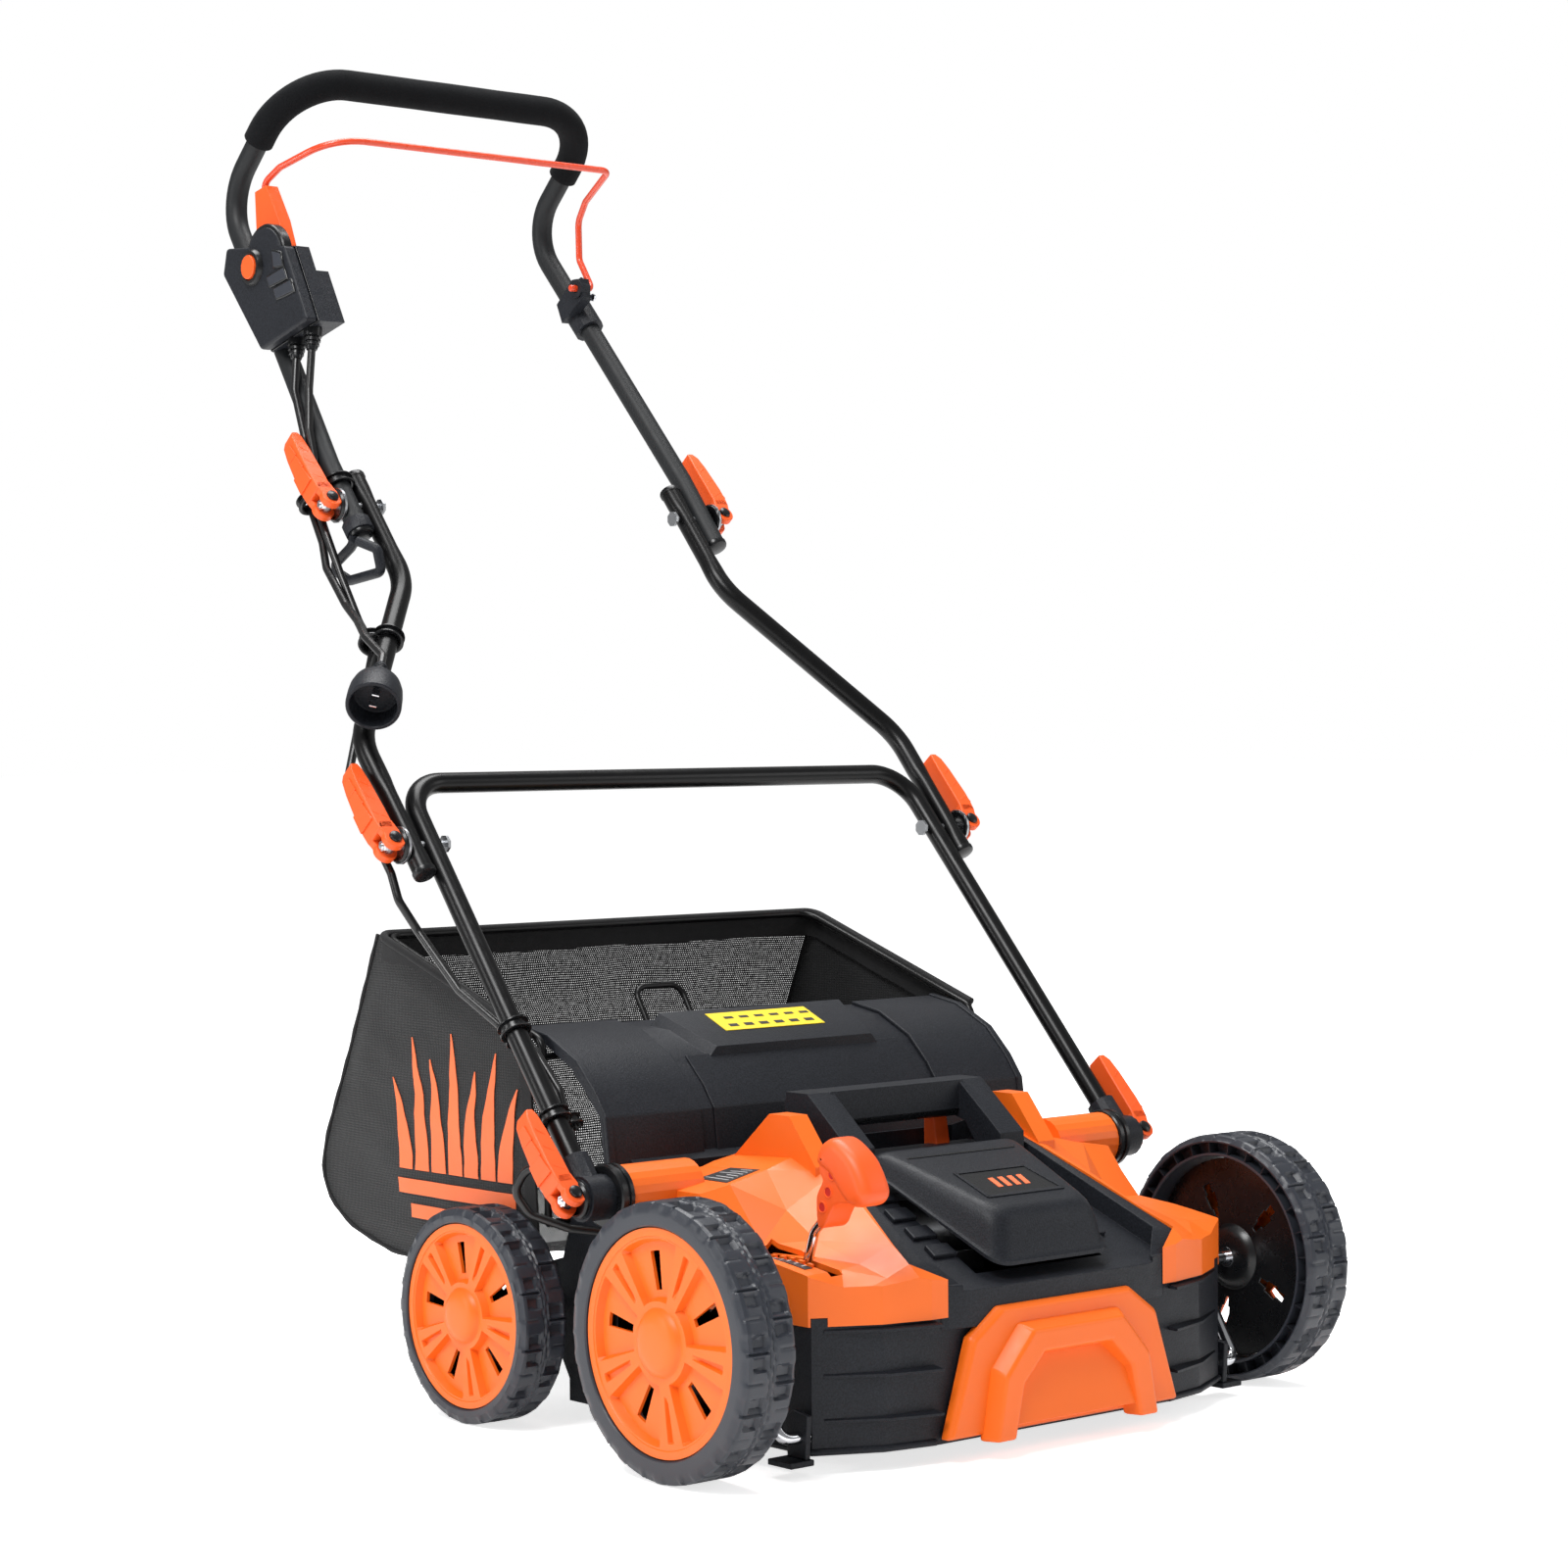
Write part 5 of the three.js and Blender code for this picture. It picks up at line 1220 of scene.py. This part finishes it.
for k, quad in enumerate([hood_quad(-0.74, 0.74, 0.17, 0.20), hood_quad(-0.60, 0.60, 0.52, 0.545)]):
    laid(f"hood_frame_{k}", "motor_hood", quad, BLACK, lift=1.0, thick=1.4)
for k, s in enumerate((-1, 1)):
    edge = [on_hood(s * u, v) for u, v in ((0.70, 0.18), (0.76, 0.18), (0.62, 0.54), (0.57, 0.54))]
    laid(f"hood_frame_side_{k}", "motor_hood", edge, BLACK, lift=1.0, thick=1.4)
plate = [on_hood(u, v) for u, v in ((-0.70, 0.205), (0.70, 0.205), (0.57, 0.515), (-0.57, 0.515))]
laid("hood_plate", "motor_hood", plate, GLOSSY, lift=0.4)
for k in range(4):
    u = -0.30 + 0.17 * k
    laid(f"hood_mark_{k}", "motor_hood", hood_quad(u, u + 0.09, 0.29, 0.42, 0.05), PRINT, lift=0.7, fine=2,
         width=0)
laid("hood_seam", "motor_hood", hood_quad(-0.86, 0.86, 0.80, 0.815), GLOSSY, lift=0.6)
# Steps in the well on either side of the hood.
for side, s in SIDES.items():
    for k in range(5):
        y = -46 + 22 * k
        step = [(s * 66, y, 300), (s * 90, y, 300), (s * 88, y + 13, 300), (s * 66, y + 13, 300)]
        laid(f"well_step_{side}_{k}", "top_cover", step, BLACK, lift=3.4, thick=4.4, fine=2, width=1.0)

# A catch seen through the carry handle.
prism("carry_catch", [(100, 196), (116, 198), (116, 231), (106, 231)], 51, 66, LEVER_RED, "deck", 1.2)
# Glossy roller inside the carry handle.
pipe("carry_roller", [at(-66, 98, 231), at(66, 98, 231)], 7.2, GLOSSY, "deck", 28)

# ---------- height crank, rotor and axles ----------
crank = two_sided(places((-312, 0, 100), (-238, 0, 100), (-238, -45, 28)))
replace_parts(bent_pipe("crank_rod", crank, 9, 0.01, 4.5, CHROME, "height_crank"), "front_axle")
stalk = places((-190, -45, 28), (-190, -20, 146), (-190, -28, 170), (-190, -49, 190))
bent_pipe("lever_stalk", stalk, 14, 0.008, 3.7, CHROME, "height_crank", 18, 6)
for side, s in SIDES.items():
    spun("crank_flange_" + side, [(4.6, 3), (8.4, 2.6), (9, 0), (8.4, -2.6), (4.6, -3)], at(s * 252, 0, 100),
         ACROSS, CHROME, "height_crank", 32)
rework("tine_rod_rear", SPRING, width=0.3)
rework("tine_rod_front", SPRING, width=0.3)

# ---------- rear flap ----------
rework("rear_flap", width=1.6)
FLAP_ARC = [(176, 200), (181, 237), (194, 254), (216, 275), (252, 292), (286, 298)]


def flap_band(name, x0, x1, rise, start=0, stop=6):
    arc = FLAP_ARC[start:stop]
    outer = []
    for i, (y, z) in enumerate(arc):
        ahead, behind = arc[min(i + 1, len(arc) - 1)], arc[max(i - 1, 0)]
        dy, dz = ahead[0] - behind[0], ahead[1] - behind[1]
        size = math.hypot(dy, dz)
        outer.append((y - dz / size * rise, z + dy / size * rise))
    return prism(name, [*outer, *[(y + 0.5, z - 0.8) for y, z in reversed(arc)]], x0, x1, BLACK, "flap", 1.4)


flap_band("flap_band_left", -220, -126, 3.0)
flap_band("flap_band_right", 126, 220, 3.0)
flap_band("flap_band_middle", -112, 112, 1.6, 0, 4)
for k, (x0, x1) in enumerate([(-221, -214), (214, 221)]):
    flap_band(f"flap_edge_{k}", x0, x1, 4.6)
laid("flap_label", "rear_flap", tile(-55, 50, 233, 260, 330), YELLOW, lift=0.7)
for row, y in enumerate((238, 250)):
    for k in range(6):
        x = -46 + 16 * k + 4 * row
        laid(f"flap_mark_{row}_{k}", "rear_flap", tile(x, x + 9, y, y + 4 - row, 330), INK, lift=1.0, fine=2,
             width=0)

# ---------- switch, bail and hook ----------
rework("switch_box", width=2.4)
SWITCH_FACE = [(634, 946), (599, 880), (673, 860), (733, 930), (727, 953)]
switch_front = prism("switch_front", SWITCH_FACE, -207, -195, BLACK, "upper_body", 3.0)
stands_for(switch_front, "switch_cover")
rework("safety_button", LEVER_RED, width=2.0, segments=4)
rework("bail_arm", LEVER_RED, width=2.2)
rework("bail_bracket", width=1.4)
spun("button_collar", [(10.9, -3), (10.9, 4.0), (11.8, 4.8), (14.2, 4.4), (16.0, 1.4), (16.8, -3)],
     at(-206.8, 683, 932), (-1, 0, 0), GLOSSY, "upper_body", 40)
spun("hub_dome", [(0, 2.0), (24, 1.8), (26.6, 0.9), (27.6, -0.8), (27.6, -9)], at(-204.6, 668, 938),
     (-1, 0, 0), BLACK, "upper_body", 64)
spun("hub_rim", [(27.4, 0), (29.6, -0.4), (30.4, -1.6), (30.4, -9), (27.4, -9)], at(-204.6, 668, 938),
     (-1, 0, 0), GLOSSY, "upper_body", 64)
SWITCH_PLATES = [[(651, 943), (638, 940), (634, 929), (648, 929)],
                 [(659, 921), (633, 927), (628, 918), (655, 913)],
                 [(649, 910), (622, 915.5), (617, 906), (644, 901.5)]]
for k, face in enumerate(SWITCH_PLATES):
    slab(f"switch_plate_{k}", [at(-206.9, y, z) for y, z in reversed(face)], 2.0, TYRE, "upper_body", 0.7)
    border = dense([at(-207.1, y, z) for y, z in face + face[:1]], 0.01)
    pipe(f"switch_frame_{k}", border, 1.7, GLOSSY, "upper_body", 8)
seam = [at(-195, y, z) for y, z in SWITCH_FACE + SWITCH_FACE[:1]]
pipe("switch_seam", dense(seam, 0.01), 0.7, GLOSSY, "upper_body", 8)
bail_corners = places((-172, 711, 975), (-172, 719, 1012), (-168, 700, 1024), (-150, 641, 1044),
                      (150, 641, 1044), (168, 700, 1024), (174, 719, 1008), (174, 718, 972), (174, 698, 942),
                      (148, 698, 942))
bail = bent_pipe("bail_wire_look", bail_corners, (10, 14, 42, 12, 14, 12, 12, 8), 0.006, 3.0, WIRE_RED,
                 "bail", 18, ends=1.0)
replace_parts(bail, "bail_wire")
rework("cable_hook", width=0.8, segments=2)
hook_loop = places((-201, 538, 691), (-199, 548, 685), (-195, 584, 669), (-192, 560, 658), (-191, 514, 664),
                   (-194, 516, 683), (-201, 534, 690))
bent_pipe("hook_loop", hook_loop, 6, 0.006, 4.3, BLACK, "upper_body", 16, 6)
for k, (y, z) in enumerate([(707, 951), (690, 934)]):
    spun(f"bracket_screw_{k}", [(0, 1.6), (2.6, 1.4), (3.4, 0.4), (3.4, -1)], at(168.4, y, z), (1, 0, 0),
         CHROME, "upper_body", 20)

# ---------- bag frame ----------
FRAME_X = 228.0
rim_wire = two_sided(places((FRAME_X, 240, 152), (FRAME_X, 246, 292), (FRAME_X, 458, 364.5)))
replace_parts(bent_pipe("bag_wire_rim", rim_wire, 14, 0.015, 3.0, TUBE, "bag", 14, 6), "bag_frame")
pipe("bag_wire_sill", places((-229, 240, 152), (229, 240, 152)), 3.0, TUBE, "bag", 14)
pipe("bag_wire_bridge", places((-228, 245, 280.5), (228, 245, 280.5)), 2.5, TUBE, "bag", 14)
lift_wire = places((-82, 245, 280.5), (-82, 294, 285.5), (-82, 318, 322), (-34, 318, 322), (-34, 294, 285.5),
                   (-34, 245, 280.5))
bent_pipe("bag_wire_handle", lift_wire, 11, 0.008, 2.5, TUBE, "bag", 14)

# ---------- floor, light and camera ----------
floor_material, floor_tree, floor_shader = node_material("floor")
floor_noise = add(floor_tree, "TexNoise", Scale=3.0, Detail=3.0).outputs["Fac"]
floor_color = ramp(floor_tree, floor_noise, (0.955, 0.955, 0.955, 1), (0.975, 0.975, 0.975, 1))
# Seen by the camera, the floor and the backdrop are white; they light the machine less than that.
floor_seen = add(floor_tree, "LightPath").outputs["Is Camera Ray"]
put(floor_tree, floor_shader, Base_Color=floor_color, Roughness=0.9, Specular_IOR_Level=0.1,
    Emission_Color=floor_color, Emission_Strength=ranged(floor_tree, floor_seen, 0.25, 0.75))
FLOOR_SIZE, FLOOR_GAP = 60, 0.0005
bpy.ops.mesh.primitive_plane_add(size=FLOOR_SIZE, location=(0, 0, -FLOOR_GAP))
floor = bpy.context.object
floor.name = "floor"
floor.data.materials.append(floor_material)


def area_light(name, place, look_at, size, power):
    light = bpy.data.lights.new(name, "AREA")
    light.shape = "RECTANGLE"
    light.size, light.size_y = size
    light.energy = power
    made = bpy.data.objects.new(name, light)
    bpy.context.scene.collection.objects.link(made)
    made.location = place
    made.rotation_euler = (Vector(look_at) - Vector(place)).to_track_quat("-Z", "Y").to_euler()


# Name, place, the point it faces, width and height in metres, and power in watts.
area_light("key", (-2.2, -1.0, 3.3), (0, 0, 0.4), (1.4, 1.4), 106)
area_light("fill", (2.8, -2.6, 1.6), (0, 0, 0.4), (1.2, 1.6), 15)
area_light("top", (0.4, 0.7, 3.4), (0, 0, 0.3), (2.2, 1.8), 112)
area_light("left_strip", (-3.2, 1.2, 1.3), (0, 0.2, 0.6), (0.5, 2.2), 26)
world = bpy.data.worlds.new("studio")
world.use_nodes = True
seen = add(world.node_tree, "LightPath").outputs["Is Camera Ray"]
put(world.node_tree, world.node_tree.nodes["Background"], Color=(1, 1, 1, 1),
    Strength=ranged(world.node_tree, seen, 0.30, 1.0))
bpy.context.scene.world = world
bpy.context.scene.view_settings.view_transform = "Standard"

# The camera of the photo, fitted to the machine's wheels, deck and handle joints.
AZIMUTH, ELEVATION, ROLL = math.radians(-40.809), math.radians(1.125), math.radians(-0.374)
CAMERA_PLACE, LENS, SHIFT = (-1872.1, -1959.2, 539.8), 81.845, (-0.00786, 0.00266)
camera_data = bpy.data.cameras.new("camera")
camera_data.sensor_width = 36.0
camera_data.lens = LENS
camera_data.shift_x, camera_data.shift_y = SHIFT
camera = bpy.data.objects.new("camera", camera_data)
bpy.context.scene.collection.objects.link(camera)
level = Vector((math.cos(AZIMUTH), math.sin(AZIMUTH), 0))
backwards = Vector((level.y * math.cos(ELEVATION), -level.x * math.cos(ELEVATION), math.sin(ELEVATION)))
upward = backwards.cross(level)
camera_x = level * math.cos(ROLL) + upward * math.sin(ROLL)
camera_y = backwards.cross(camera_x)
camera.matrix_world = Matrix.Translation(at(*CAMERA_PLACE)) @ Matrix(
    (camera_x, camera_y, backwards)).transposed().to_4x4()
bpy.context.scene.camera = camera
